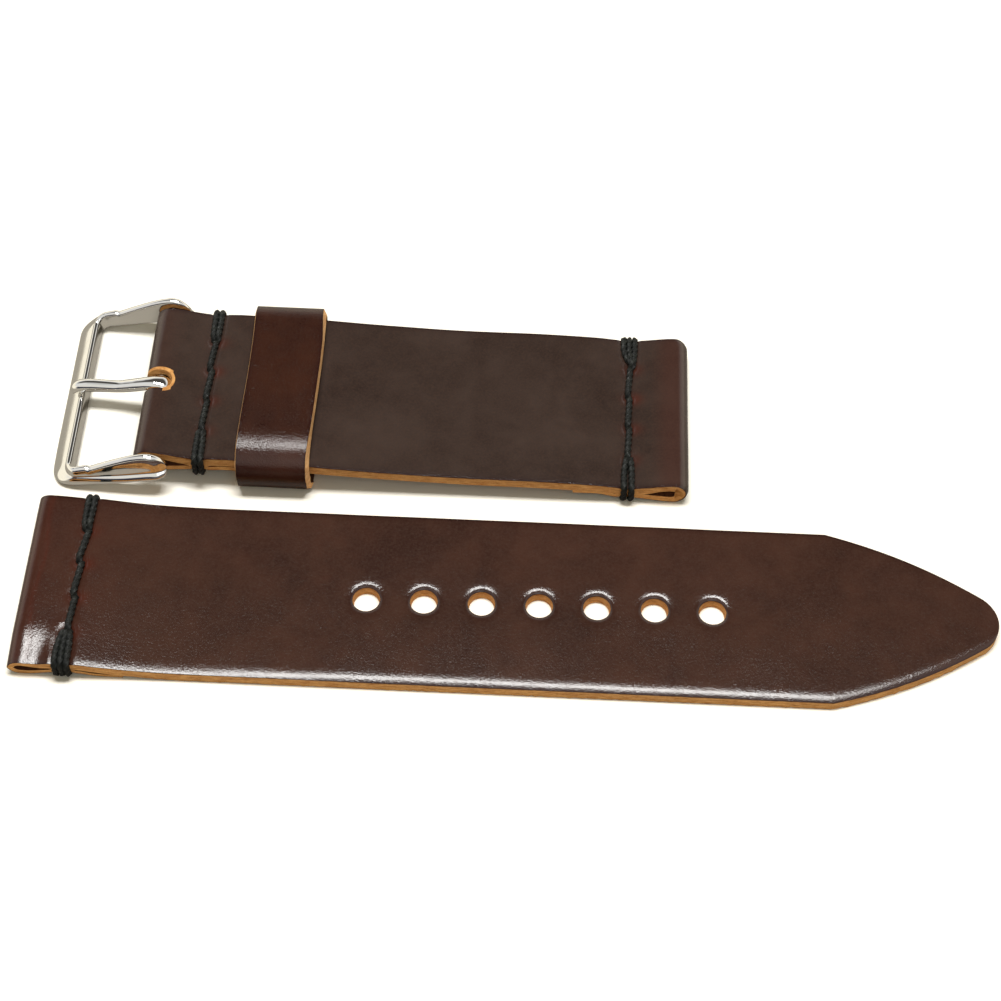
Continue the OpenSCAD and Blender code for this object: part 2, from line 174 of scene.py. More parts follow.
def softStep(a, b, x):
    t = np.clip((np.asarray(x, float) - a) / (b - a), 0, 1)
    return t * t * (3 - 2 * t)


# A strip of leather: one row of edges across it, extruded step by step along its path

def drawStrip(name, path, across, width, columns):
    clearSelection()
    bpy.ops.mesh.primitive_grid_add(x_subdivisions=columns, y_subdivisions=1, size=1)
    piece = bpy.context.object
    piece.name = name
    flat = readPoints(piece) * mm
    side = np.array(across, float)
    second = flat[:, 1] > 0
    start = np.where(second[:, None], path[1], path[0])
    writePoints(piece, start + np.outer(flat[:, 0] * width, side))
    mesh = editMesh(piece)
    mesh.verts.ensure_lookup_table()
    for vertex in mesh.verts:
        vertex.select_set(bool(second[vertex.index]))
    mesh.select_flush(True)
    bmesh.update_edit_mesh(piece.data)
    for step in np.diff(path, axis=0)[1:] * mm:
        bpy.ops.mesh.extrude_region_move(TRANSFORM_OT_translate={"value": tuple(step)})
    leaveEdit()
    points = readPoints(piece)
    column = points @ side
    row = nearest(path, points - np.outer(column, side))
    face = piece.data.polygons[len(piece.data.polygons) // 2]
    k = min(int(row[list(face.vertices)].min()), len(path) - 2)
    if np.dot(np.cross(path[k + 1] - path[k], side), np.array(face.normal)) < 0:
        editMesh(piece)
        bpy.ops.mesh.select_all(action="SELECT")
        bpy.ops.mesh.flip_normals()
        leaveEdit()
    return piece, row, column


def crowdEdges(y, half, band=3.0):
    # columns near the edges moved closer to them, to carry the round of a burnished edge
    t = np.clip((np.abs(y) - (half - band)) / band, 0, 1)
    return np.where(t > 0, np.sign(y) * (half - band + band * (1 - (1 - t) ** 1.6)), y)


# The wall under the outer face, with its raw edges. Materials: 0 grain, 1 flesh, 2 raw edge

def giveWall(piece, wall, thickest, roundOff, materials):
    setMaterials(piece, materials)
    group = piece.vertex_groups.new(name="wall")
    for share in np.unique(np.round(wall / thickest, 3)):
        chosen = np.where(np.round(wall / thickest, 3) == share)[0]
        group.add(chosen.tolist(), float(share), "REPLACE")
    outer = len(piece.data.vertices)
    solid = piece.modifiers.new("wall", "SOLIDIFY")
    solid.thickness = thickest * mm
    solid.offset = -1
    solid.vertex_group = "wall"
    solid.use_quality_normals = True
    solid.material_offset = 1
    solid.material_offset_rim = 2
    applyModifiers(piece)
    depth = np.ones(len(piece.data.vertices))
    depth[:outer] = 0
    paint(piece, "depth", depth)
    for pair, size, cuts, material in (({0, 2}, roundOff, 2, 0), ({1, 2}, 0.07, 1, 2)):
        mesh = editMesh(piece)
        for edge in mesh.edges:
            edge.select_set({face.material_index for face in edge.link_faces} == pair)
        bmesh.update_edit_mesh(piece.data)
        bpy.ops.mesh.bevel(offset=size * mm, segments=cuts, affect="EDGES", material=material)
        leaveEdit()
    smoothFaces(piece, 50)
    return piece


def readValues(piece, name):
    values = np.zeros(len(piece.data.vertices), dtype=np.float32)
    piece.data.attributes[name].data.foreach_get("value", values)
    return values.astype(float)


def rollGrain(piece):
    # the grain rolled down at edges and punched holes. The wall under it stays upright
    points = readPoints(piece)
    points[:, 2] -= readValues(piece, "roll") * (1 - np.clip(readValues(piece, "depth"), 0, 1))
    writePoints(piece, points)


# Rings of points joined one after another, as when a ring is extruded and set down again

def extrudeTo(piece, before, ring):
    bpy.ops.mesh.extrude_region_move(TRANSFORM_OT_translate={"value": (0, 0, 0)})
    mesh = bmesh.from_edit_mesh(piece.data)
    fresh = [v for v in mesh.verts if v.select]
    for vertex, k in zip(fresh, nearest(before, np.array([v.co for v in fresh]) / mm)):
        vertex.co = Vector(ring[k] * mm)
    bmesh.update_edit_mesh(piece.data)


def drawRings(name, rings):
    clearSelection()
    bpy.ops.mesh.primitive_circle_add(vertices=len(rings[0]), radius=0.01, fill_type="NOTHING")
    piece = bpy.context.object
    piece.name = name
    writePoints(piece, rings[0])
    bpy.ops.object.mode_set(mode="EDIT")
    bpy.ops.mesh.select_all(action="SELECT")
    for before, ring in zip(rings, rings[1:]):
        extrudeTo(piece, before, ring)
    bpy.ops.mesh.select_all(action="SELECT")
    bpy.ops.mesh.fill_holes(sides=0)
    bpy.ops.mesh.select_all(action="SELECT")
    bpy.ops.mesh.normals_make_consistent(inside=False)
    leaveEdit()
    return piece


# Where the halves lie, read from the model's parts

barLow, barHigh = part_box("spring_bar_tube")
bar = np.array((barLow + barHigh) / 2) / mm
longLow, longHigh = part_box("long_strap")
longX = longLow.x / mm
longY = (longLow.y + longHigh.y) / 2 / mm


# Shader node groups. Values are the inputs' defaults, and None stands for a place in space

def newGroup(name, inputs, outputs):
    group = bpy.data.node_groups.new(name, "ShaderNodeTree")
    for label, value in inputs.items():
        kind = "NodeSocketVector" if value is None else "NodeSocketFloat"
        socket = group.interface.new_socket(name=label, in_out="INPUT", socket_type=kind)
        if value is not None:
            socket.default_value = value
    for label in outputs:
        group.interface.new_socket(name=label, in_out="OUTPUT", socket_type="NodeSocketFloat")
    w = Wires(group)
    return group, w, w.add("NodeGroupInput").outputs, w.add("NodeGroupOutput").inputs


class Wires:
    # short ways to add a node and join it up
    def __init__(self, tree):
        self.tree = tree

    def add(self, kind, **settings):
        node = self.tree.nodes.new(kind)
        for key, value in settings.items():
            setattr(node, key, value)
        return node

    def join(self, start, end):
        self.tree.links.new(start, end)

    def put(self, value, socket):
        if isinstance(value, bpy.types.NodeSocket):
            self.join(value, socket)
        elif socket.type == "RGBA":
            socket.default_value = (*value, 1)
        else:
            socket.default_value = value

    def set(self, node, **values):
        # inputs by name, with _ for a space
        for label, value in values.items():
            self.put(value, node.inputs[label.replace("_", " ")])
        return node.outputs

    def shade(self, **values):
        self.set(self.tree.nodes["Principled BSDF"], **values)

    def sum(self, kind, first, second, clamp=False):
        node = self.add("ShaderNodeMath", operation=kind, use_clamp=clamp)
        self.put(first, node.inputs[0])
        self.put(second, node.inputs[1])
        return node.outputs[0]

    def weigh(self, *pairs):
        # the sum of values, each with its weight
        total = None
        for value, weight in pairs:
            part = value if weight == 1 else self.sum("MULTIPLY", value, weight)
            total = part if total is None else self.sum("ADD", total, part)
        return total

    def noise(self, vector, scale, detail=2.0, rough=0.5, warp=0.0):
        node = self.add("ShaderNodeTexNoise")
        self.set(node, Vector=vector, Scale=scale, Detail=detail, Roughness=rough, Distortion=warp)
        return node.outputs["Fac"]

    def stretch(self, vector, scale):
        return self.set(self.add("ShaderNodeMapping"), Vector=vector, Scale=scale)["Vector"]

    def range(self, value, low, high, start=0.0, end=1.0):
        return self.set(self.add("ShaderNodeMapRange", clamp=True), Value=value, From_Min=low, From_Max=high,
                        To_Min=start, To_Max=end)["Result"]

    def mix(self, share, first, second):
        node = self.add("ShaderNodeMix", data_type="RGBA")
        self.put(share, node.inputs["Factor"])
        self.put(first, node.inputs[6])
        self.put(second, node.inputs[7])
        return node.outputs[2]

    def bump(self, height, distance):
        return self.set(self.add("ShaderNodeBump"), Distance=distance, Height=height)["Normal"]

    def attribute(self, name):
        return self.add("ShaderNodeAttribute", attribute_name=name).outputs["Fac"]


def grainGroup():
    # waxed grain: small pores, fine wrinkles, and broad cloudy patches
    group, w, given, out = newGroup("leatherGrain", {"Vector": None, "Pore Size": 0.34},
                                    ["Height", "Cloud", "Speck"])
    vector = given["Vector"]
    scale = w.sum("DIVIDE", 1000.0, given["Pore Size"])
    pores = w.set(w.add("ShaderNodeTexVoronoi", feature="F1"), Vector=vector, Scale=scale, Randomness=1.0)
    cells = w.range(pores["Distance"], 0.05, 0.75, 1.0, 0.0)
    fine = w.noise(vector, w.sum("MULTIPLY", scale, 1.7), 3.0, 0.6)
    wrinkle = w.noise(w.stretch(vector, (1.0, 0.4, 1.0)), 900.0, 2.0, 0.5, 0.6)
    w.join(w.weigh((cells, 0.3), (fine, 0.8), (wrinkle, 0.18)), out["Height"])
    broad = w.noise(vector, 95.0, 3.0, 0.55, 0.4)
    patch = w.noise(vector, 420.0)
    w.join(w.weigh((broad, 0.7), (patch, 0.3)), out["Cloud"])
    w.join(w.range(w.noise(vector, 3400.0, 3.0, 0.7), 0.38, 0.74), out["Speck"])
    return group


def fibreGroup():
    # a cut leather edge: fibres packed in layers, darker where the dye has soaked in
    group, w, given, out = newGroup("cutEdge", {"Vector": None, "Depth": 0.5}, ["Height", "Tone", "Dye"])
    vector = given["Vector"]
    layer = w.noise(w.stretch(vector, (0.5, 0.5, 2.4)), 1500.0, 3.0, 0.6, 0.5)
    fuzz = w.noise(vector, 4200.0, 2.0, 0.6)
    w.join(w.weigh((layer, 0.7), (fuzz, 0.4)), out["Height"])
    w.join(w.range(w.weigh((layer, 0.75), (fuzz, 0.25)), 0.3, 0.72), out["Tone"])
    deepest = w.sum("MULTIPLY", w.noise(vector, 700.0), 0.1)
    w.join(w.range(w.sum("SUBTRACT", given["Depth"], deepest), 0.0, 0.07, 1.0, 0.0), out["Dye"])
    return group


def fluffGroup():
    # fibres laid along a thread, with wax between them. "along" and "round" are stored on the mesh
    group, w, given, out = newGroup("threadFibres", {"Along": 0.0, "Round": 0.0, "Vector": None},
                                    ["Height", "Wax"])
    place = w.add("ShaderNodeCombineXYZ")
    w.join(w.sum("MULTIPLY", given["Along"], 1.6), place.inputs[0])
    w.join(w.sum("MULTIPLY", given["Round"], 16.0), place.inputs[1])
    w.join(w.noise(place.outputs[0], 1.0, 2.0, 0.6, 0.4), out["Height"])
    w.join(w.range(w.noise(given["Vector"], 1300.0), 0.45, 0.7), out["Wax"])
    return group


def wearGroup():
    # fine polishing lines and handling marks on steel
    group, w, given, out = newGroup("steelWear", {"Vector": None, "Amount": 1.0}, ["Height", "Haze"])
    vector = given["Vector"]
    lines = w.noise(w.stretch(vector, (1.0, 0.08, 1.0)), 5200.0, 2.0, 0.6)
    waves = w.noise(vector, 260.0)
    w.join(w.weigh((lines, 0.15), (waves, 1)), out["Height"])
    haze = w.range(w.noise(vector, 620.0, 4.0, 0.65), 0.45, 0.8)
    w.join(w.sum("MULTIPLY", haze, given["Amount"]), out["Haze"])
    return group


groups = {"grain": grainGroup(), "fibre": fibreGroup(), "fluff": fluffGroup(), "wear": wearGroup()}


def startMaterial(name):
    material = bpy.data.materials.new(name)
    material.use_nodes = True
    w = Wires(material.node_tree)
    return material, w, w.add("ShaderNodeTexCoord").outputs["Object"]


def placeGroup(w, name, **values):
    return w.set(w.add("ShaderNodeGroup", node_tree=groups[name]), **values)


def toned(colour, share):
    return tuple(c * share for c in colour)


def grainMaterial(name, look):
    material, w, place = startMaterial(name)
    grain = placeGroup(w, "grain", Vector=place, Pore_Size=look["pore"])
    cloud = w.range(grain["Cloud"], 0.36, 0.66)
    colour = w.mix(cloud, look["dark"], look["light"])
    for value, share, tone in ((grain["Speck"], 0.42, "speck"), (w.attribute("pull"), 0.85, "pulled"),
                               (w.attribute("edge"), 0.6, "edge")):
        colour = w.mix(w.sum("MULTIPLY", value, share, clamp=True), colour, look[tone])
    w.shade(Base_Color=colour, Roughness=w.weigh((grain["Speck"], 0.03), (look["rough"], 1), (cloud, -0.03)),
            Specular_IOR_Level=look["shine"], Normal=w.bump(grain["Height"], look["bump"] * mm))
    return material


def fleshMaterial(name, colour):
    material, w, place = startMaterial(name)
    nap = w.noise(place, 2300.0, 4.0, 0.65, 0.3)
    tone = w.mix(w.range(w.noise(place, 260.0), 0.35, 0.7), colour, toned(colour, 1.6))
    w.shade(Base_Color=w.mix(w.range(nap, 0.4, 0.75), tone, toned(colour, 0.5)), Roughness=0.92,
            Specular_IOR_Level=0.2, Normal=w.bump(nap, 0.08 * mm))
    return material


def rawMaterial(name, look):
    material, w, place = startMaterial(name)
    fibre = placeGroup(w, "fibre", Vector=place, Depth=w.attribute("depth"))
    colour = w.mix(fibre["Tone"], look["dark"], look["light"])
    w.shade(Base_Color=w.mix(fibre["Dye"], colour, look["dye"]), Roughness=0.85, Specular_IOR_Level=0.25,
            Normal=w.bump(fibre["Height"], 0.09 * mm))
    return material


def threadMaterial(name):
    material, w, place = startMaterial(name)
    fluff = placeGroup(w, "fluff", Along=w.attribute("along"), Round=w.attribute("round"), Vector=place)
    colour = w.mix(w.range(fluff["Height"], 0.35, 0.7), (0.001, 0.0014, 0.0012), (0.007, 0.0085, 0.007))
    w.shade(Base_Color=w.mix(w.sum("MULTIPLY", fluff["Wax"], 0.25), colour, (0.04, 0.044, 0.036)),
            Roughness=w.range(fluff["Wax"], 0.0, 1.0, 0.46, 0.3), Specular_IOR_Level=0.25,
            Normal=w.bump(fluff["Height"], 0.09 * mm))
    return material


def steelMaterial(name, colour, rough, haze, wave):
    material, w, place = startMaterial(name)
    wear = placeGroup(w, "wear", Vector=place, Amount=haze)
    w.shade(Base_Color=w.mix(w.sum("MULTIPLY", wear["Haze"], 0.25), colour, toned(colour, 0.8)), Metallic=1.0,
            Roughness=w.weigh((wear["Haze"], 0.12), (rough, 1)), Normal=w.bump(wear["Height"], wave * mm))
    return material


strapLook = {"pore": 0.34, "rough": 0.14, "shine": 0.46, "bump": 0.022,
             "dark": (0.028, 0.0104, 0.0066), "light": (0.052, 0.0216, 0.0140),
             "speck": (0.062, 0.034, 0.023), "pulled": (0.075, 0.014, 0.007), "edge": (0.014, 0.003, 0.003)}
# the short half: the strap's leather with a greyer base, a painted sheen that stands for the stronger
# reflection it shows
shortPaintedSheenLook = dict(strapLook, dark=(0.026, 0.0160, 0.0130), light=(0.046, 0.0305, 0.0250))
keeperLook = dict(strapLook, dark=(0.019, 0.0046, 0.0026), light=(0.039, 0.0118, 0.0058),
                  speck=(0.045, 0.022, 0.014), shine=0.35, pore=0.27, bump=0.036)
edgeLook = {"dark": (0.36, 0.135, 0.030), "light": (0.78, 0.43, 0.15), "dye": (0.045, 0.010, 0.006)}
keeperEdgeLook = dict(edgeLook, light=(0.88, 0.56, 0.27), dark=(0.50, 0.22, 0.07))

strapGrain = grainMaterial("strapGrain", strapLook)
shortPaintedSheenGrain = grainMaterial("shortHalfPaintedSheenGrain", shortPaintedSheenLook)
keeperGrain = grainMaterial("keeperGrain", keeperLook)
strapFlesh = fleshMaterial("strapFlesh", (0.12, 0.045, 0.02))
strapEdge = rawMaterial("strapRawEdge", edgeLook)
keeperEdge = rawMaterial("keeperRawEdge", keeperEdgeLook)
threadBlack = threadMaterial("waxedThread")
mirrorSteel = steelMaterial("mirrorSteel", (0.86, 0.85, 0.82), 0.05, 0.5, 0.010)
turnedSteel = steelMaterial("turnedSteel", (0.66, 0.66, 0.66), 0.22, 0.8, 0.02)
springWire = steelMaterial("springWire", (0.52, 0.53, 0.55), 0.3, 0.9, 0.02)
print("materials made")


# Sewn rows. Strands over the top and under the strap, and wraps round the edges. x is measured
# from the row's line, y from the strap's middle. A wrap is its x at the edge and at the hole

holeY = [-7.3, -2.433, 2.433, 7.3]
threadHalf = 0.45

bucklePlan = {"row": 6.4, "top": 4.98, "foot": 2.52, "far": [(-0.38, -0.30), (0.36, 0.28)],
              "near": [(-0.38, -0.30), (0.38, 0.28)], "lean": [(0.12, -0.2), (0.2, -0.1), (0.15, -0.1)],
              "body": "short_half", "node": "buckle_end_stitch"}
shortLugPlan = {"row": 61.1, "top": 2.8, "foot": 0.66, "far": [(-0.72, 0.30), (0.0, 0.42), (0.70, 0.48)],
                "near": [(-0.52, -0.26), (0.44, 0.30)], "lean": [(0.15, -0.15), (0.1, -0.1), (0.1, -0.12)],
                "body": "short_half", "node": "short_lug_stitch"}
longLugPlan = {"row": 6.6, "top": 2.78, "foot": 0.66, "far": [(-0.38, -0.30), (0.36, 0.28)],
               "near": [(-0.88, -0.50), (-0.16, -0.04), (0.54, 0.38)],
               "lean": [(0.35, -0.25), (0.2, -0.15), (0.2, -0.05)],
               "body": "long_half", "node": "long_lug_stitch"}


def strandLines(plan):
    lines = []
    for k, (start, end) in enumerate(plan["lean"]):
        lines.append([(start, holeY[3 - k] - 0.1), (end, holeY[2 - k] + 0.1)])
    for side, wraps in ((1, plan["far"]), (-1, plan["near"])):
        for edge, hole in wraps:
            lines.append([(hole, side * 7.25), (edge * 0.85 + hole * 0.15, side * 9.2), (edge, side * 12)])
    return lines


def distanceTo(lines, x, y):
    best = np.full(len(x), 99.0)
    for line in lines:
        for (ax, ay), (bx, by) in zip(line[:-1], line[1:]):
            dx, dy = bx - ax, by - ay
            t = np.clip(((x - ax) * dx + (y - ay) * dy) / (dx * dx + dy * dy), 0, 1)
            best = np.minimum(best, np.hypot(x - ax - t * dx, y - ay - t * dy))
    return best


def bell(x, width):
    return np.exp(-(x / width) ** 2)


def sinkRow(points, local, y, plan, chosen, up):
    # threads pressed into the leather, puckered holes, and a slight pillow between the rows
    x = local - plan["row"]
    chosen = chosen & (np.abs(x) < 4)
    away = distanceTo(strandLines(plan), x, y)
    dip = -0.24 * bell(away, 0.5) + 0.02 * bell(away - 1.0, 0.5)
    pull = np.zeros(len(x))
    for k, hole in enumerate(holeY):
        r = np.hypot(x, y - hole)
        dip += -0.34 * bell(r, 0.6) + 0.02 * bell(r - 1.3, 0.6)
        pull += (0.55 + 0.35 * (k * 37 % 5) / 4) * bell(np.hypot((x - 0.5) / 1.3, y - hole + 0.3), 0.9)
    points[:, 2] += np.where(chosen, up * dip, 0)
    return np.where(chosen, pull, 0)


def roughen(points, size, reach, seed):
    # slow unevenness of a hand-cut piece
    for p in points:
        v = noise.noise_vector(Vector(((p[0] + seed) / reach, p[1] / reach, p[2] / reach)))
        p[2] += size * v.z
        p[0] += size * 0.3 * v.x
    return points


# Short half: turned-back layer, fold round the spring bar, top, and the lug loop

shortHalf = {"width": 23.9, "columns": 48, "foldRadius": 1.95, "lugX": 67.15, "lugRadius": 1.80,
             "slotEnd": 1.75, "slotHalf": 1.5, "rawRing": 0.42, "rolled": 0.045,
             "wall": 1.52, "turned": 0.76, "foldWall": 0.95, "lugWall": 1.46, "lugTurned": 0.62}


def shortPath():
    c, r, lug = bar[2], shortHalf["foldRadius"], shortHalf["lugRadius"]
    knots = [(18, 2.40), (14, 2.52), (9.3, 2.72), (7.6, 2.56), (5.1, 2.58), (2.6, 2.26)]
    knots += arcPoints((0, c), r, [-82, -115, -150, 180, 150, 118, 96])
    knots += [(1.0, 5.86), (2.4, 5.60), (4.0, 5.26), (5.3, 5.04), (6.4, 4.98), (7.6, 5.06), (9.3, 5.14),
              (12, 5.04), (18, 4.74), (24, 4.30), (30, 3.88), (38, 3.56), (48, 3.48), (54, 3.34),
              (57.4, 3.14), (59.6, 2.86), (61.1, 2.80), (62.6, 2.88), (64.2, 3.18)]
    knots += arcPoints((shortHalf["lugX"] - 0.05, lug), lug, [100, 68, 32, 0, -32, -68, -100])
    knots += [(64.2, 0.34), (62.6, 0.62), (61.1, 0.66), (59.6, 0.74), (57.4, 1.26), (55.8, 1.30),
              (54.1, 1.30)]
    line = curveThrough([(x, 0, z) for x, z in knots])

    def step(p):
        x = p[0]
        if x < 3 or x > 64.5:
            return 0.33
        toRow = min(abs(x - plan["row"]) for plan in (bucklePlan, shortLugPlan))
        return 0.32 if toRow < 2.2 else 0.62
    return cutLine(line, step)


def onTop(path):
    # which points of a path that goes round clockwise belong to its top
    way = np.gradient(path[:, 0])
    return way > 0


def roundSlot(points, x, y, top, path):
    # the slot's square end made round. The rings of points about it fade back to square
    half, end = shortHalf["slotHalf"], shortHalf["slotEnd"]
    middle = end - half
    reach = min(x[(np.abs(y) < half - 0.2) & (x > end - 0.4)]) - middle
    near = (np.abs(y) < half + 2.2) & (x > middle - 0.4) & (x < end + 2.4)
    for isTop in (True, False):
        line = path[onTop(path) == isTop][:, [0, 2]]
        line = line[np.argsort(line[:, 0])]
        for k in np.where((top == isTop) & near)[0]:
            px, py = (x[k] - middle) * half / reach, y[k]
            square = max(px, abs(py))
            if px <= 0 or square < half - 0.05:
                continue
            angle = math.atan2(py, px)
            corner = max(abs(math.cos(angle)), abs(math.sin(angle)))
            share = 1 - softStep(half, half + 2.0, square)
            radius = square * (share + (1 - share) / corner)
            nx = middle + radius * math.cos(angle)
            points[k] = (nx, radius * math.sin(angle), np.interp(nx, line[:, 0], line[:, 1]))


def shortWall(x, top):
    # how thick the leather is: thin round the fold, skived where it is turned back
    s = shortHalf
    wall = np.where(top, s["wall"], s["turned"])
    fold = s["foldWall"] + np.where(top, 0.5, -0.19) * softStep(0, 5, x)
    wall = np.where(x < 5, fold, wall)
    lug = softStep(63.2, 65.4, x)
    lugTop = s["lugWall"] - 0.36 * lug
    lugFoot = s["lugTurned"] + 0.30 * softStep(61.3, 62.8, x) + 0.16 * lug
    wall = np.where(x > 61, np.where(top, lugTop, lugFoot) + 0.46 * softStep(66.2, 68.8, x), wall)
    wall = np.where((x > 57) & (x <= 61) & top, s["wall"] - 0.1 * softStep(57, 61, x), wall)
    wall = np.where((x > 50) & (x <= 61) & ~top, s["lugTurned"], wall)
    return np.where(~top & (x > 16.4) & (x < 20), s["turned"] - 0.36 * softStep(16.4, 18, x), wall)


def makeShortHalf():
    path = shortPath()
    piece, row, y = drawStrip("shortHalfLeather", path, (0, 1, 0), shortHalf["width"], shortHalf["columns"])
    half, end = shortHalf["slotHalf"], shortHalf["slotEnd"]
    selectFaces(piece, lambda m: abs(m.y) < half and m.x < end - 0.05)
    bpy.ops.mesh.delete(type="FACE")
    leaveEdit()
    points = readPoints(piece)
    row = nearest(path[:, [0, 2]], points[:, [0, 2]])
    x, top, y = path[row, 0], onTop(path)[row], points[:, 1].copy()
    roundSlot(points, x, y, top, path)
    points[:, 1] = y = crowdEdges(points[:, 1], shortHalf["width"] / 2)
    pull = np.zeros(len(points))
    for plan in (bucklePlan, shortLugPlan):
        pull += sinkRow(points, x, y, plan, top, 1)
        sinkRow(points, x, y, plan, ~top, -1)
    # the buckle's end is a little narrower than the strap, and burnishing rounds the edges
    points[:, 1] *= 1 - 0.018 * (1 - softStep(6, 22, x))
    rolled = np.where(top, shortHalf["rolled"] * np.clip((np.abs(y) - 11.05) / 0.9, 0, 1) ** 2, 0)
    points[:, 0] -= 0.3 * softStep(66.2, 68.8, x) * np.clip((np.abs(y) - 11.2) / 0.75, 0, 1) ** 2
    points = roughen(points, 0.07, 7.0, 3.0)
    points[:, 2] = np.maximum(points[:, 2], 0.0)
    slotX = x - (end - half)
    edge = softStep(11.2, 12, np.abs(y))
    edge += np.where(top & (slotX < half + 0.5), bell(np.hypot(slotX, y) - half, 0.25), 0) * 0.8
    pull += 0.28 * softStep(63.5, 66.5, x) * (1 - softStep(67.5, 69, x)) + 0.16 * (1 - softStep(-1, 3, x))
    writePoints(piece, points + np.array([bar[0], bar[1], 0]))
    paint(piece, "edge", np.clip(edge, 0, 1))
    paint(piece, "pull", np.clip(pull, 0, 1))
    paint(piece, "roll", rolled)
    # its grain material carries a painted sheen in its greyer base colour
    giveWall(piece, shortWall(x, top), 1.6, 0.15, [shortPaintedSheenGrain, strapFlesh, strapEdge])
    rollGrain(piece)

    # the slot's rim is left raw, widest behind the tongue
    def isRim(m):
        px, py = m.x - bar[0] - (end - half), m.y - bar[1]
        gap = (math.hypot(px, py) if px > 0 else abs(py)) - half
        widest = shortHalf["rawRing"] if py > 0.3 or px > 0.4 else 0.1
        return m.z > bar[2] and -0.4 < gap < widest and m.x - bar[0] > -1.9
    mesh = selectFaces(piece, isRim)
    for face in mesh.faces:
        if face.select:
            face.material_index = 2
    bmesh.update_edit_mesh(piece.data)
    leaveEdit()
    chosen = np.array([v.select for v in piece.data.vertices])
    depth = readValues(piece, "depth")
    paint(piece, "depth", np.where(chosen, np.maximum(depth, 0.6), depth))
    return piece


shortLeather = makeShortHalf()
print("short half", len(shortLeather.data.polygons))


# Long half: lug loop, turned-back layer, seven holes, and the pointed tail

longHalf = {"width": 23.9, "columns": 48, "loopRadius": 1.55, "holes": [42.1 + 7.1 * k for k in range(7)],
            "middles": np.linspace(-0.3, -0.04, 7), "holeRadius": 1.71, "patch": 2.5, "punched": 0.15,
            "taperFrom": 99.0, "taperHalf": 11.95, "tip": 119.75, "noseRadius": 4.2, "sideRadius": 64.0,
            "top": 1.6, "wall": 1.56, "turned": 0.56, "foldWall": 0.78, "pressed": 0.52}


def longPath():
    r = longHalf["loopRadius"]
    knots = [(13.6, 0.0), (12.2, 0.02), (10.3, 0.10), (8.6, 0.5), (7.6, 0.66), (5.6, 0.66), (4.2, 0.42),
             (2.8, 0.10)]
    knots += arcPoints((r - 0.25, r), r, [-95, -125, -155, 180, 155, 125, 95])
    knots += [(2.8, 3.04), (4.2, 2.92), (5.6, 2.78), (7.6, 2.78), (9.0, 2.62), (11, 2.32), (14, 1.94),
              (18, 1.70), (22, 1.62), (26, 1.6)]

    def step(p):
        if p[0] < 3.2:
            return 0.33
        return 0.32 if abs(p[0] - longLugPlan["row"]) < 2.2 else 0.6
    start = cutLine(curveThrough([(x, 0, z) for x, z in knots]), step)
    holes, half, taper = longHalf["holes"], longHalf["patch"], longHalf["taperFrom"]
    xs = [26]
    for hole in holes:
        xs += list(np.linspace(xs[-1], hole - half, 24 if hole == holes[0] else 5)[1:])
        xs += list(np.linspace(hole - half, hole + half, 11)[1:])
    xs += list(np.linspace(xs[-1], taper, 20)[1:]) + list(np.linspace(taper, longHalf["tip"], 38)[1:])
    return np.vstack([start, [(x, 0, longHalf["top"]) for x in xs[1:]]])


def tailOutline():
    # the side's arc from where the taper starts to the nose, then round the nose
    radius, nose = longHalf["sideRadius"], longHalf["noseRadius"]
    corner = np.array([longHalf["taperFrom"], longHalf["taperHalf"]])
    tip = np.array([longHalf["tip"] - nose, 0.0])
    d = np.linalg.norm(corner - tip)
    along = (radius**2 - (radius - nose) ** 2 + d * d) / (2 * d)
    off = math.sqrt(radius**2 - along**2)
    u = (tip - corner) / d
    c = corner + along * u + off * np.array([u[1], -u[0]])
    meet = tip + nose * (tip - c) / np.linalg.norm(tip - c)

    def arc(centre, size, first, last, count):
        start, end = (math.atan2(*(p - centre)[::-1]) for p in (first, last))
        return [centre + size * np.array([math.cos(a), math.sin(a)]) for a in np.linspace(start, end, count)]
    blunt = tip + np.array([math.cos(math.radians(28)), math.sin(math.radians(28))])
    return np.array(arc(c, radius, corner, meet, 40) + arc(tip, nose, meet, blunt, 14)[1:])


def punchHole(piece, centre, middle):
    # a square of faces out, then its rim drawn in, ring by ring, to a circle
    patch, radius, level = longHalf["patch"], longHalf["holeRadius"], longHalf["top"] - 0.2

    def isNear(m, size):
        return max(abs(m.x - centre), abs(m.y)) < size and m.z > level
    selectFaces(piece, lambda m: isNear(m, patch))
    bpy.ops.mesh.delete(type="FACE")
    mesh = bmesh.from_edit_mesh(piece.data)
    for edge in mesh.edges:
        if edge.is_boundary and isNear((edge.verts[0].co + edge.verts[1].co) / 2 / mm, patch + 0.1):
            edge.select_set(True)
    square = np.array([v.co for v in mesh.verts if v.select]) / mm
    bmesh.update_edit_mesh(piece.data)
    px, py = square[:, 0] - centre, square[:, 1]
    wide = np.maximum(np.abs(px), np.abs(py))
    eighth = math.pi / 4
    endways = np.where(px > 0, py / wide * eighth, math.pi - py / wide * eighth)
    sideways = np.where(py > 0, 2 * eighth - px / wide * eighth, -2 * eighth + px / wide * eighth)
    angle = np.where(np.abs(px) >= np.abs(py), endways, sideways)
    circle = np.stack([centre + radius * np.cos(angle), middle + radius * np.sin(angle),
                       square[:, 2]], axis=1)
    before = square
    for share in (0.3, 0.55, 0.75, 0.9, 1.0):
        ring = square + (circle - square) * share
        extrudeTo(piece, before, ring)
        before = ring
    bpy.ops.mesh.select_all(action="DESELECT")
    mesh = bmesh.from_edit_mesh(piece.data)
    mesh.normal_update()
    for face in mesh.faces:
        if face.normal.z < 0 and isNear(face.calc_center_median() / mm, patch):
            face.select_set(True)
    bmesh.update_edit_mesh(piece.data)
    bpy.ops.mesh.flip_normals()
    leaveEdit()


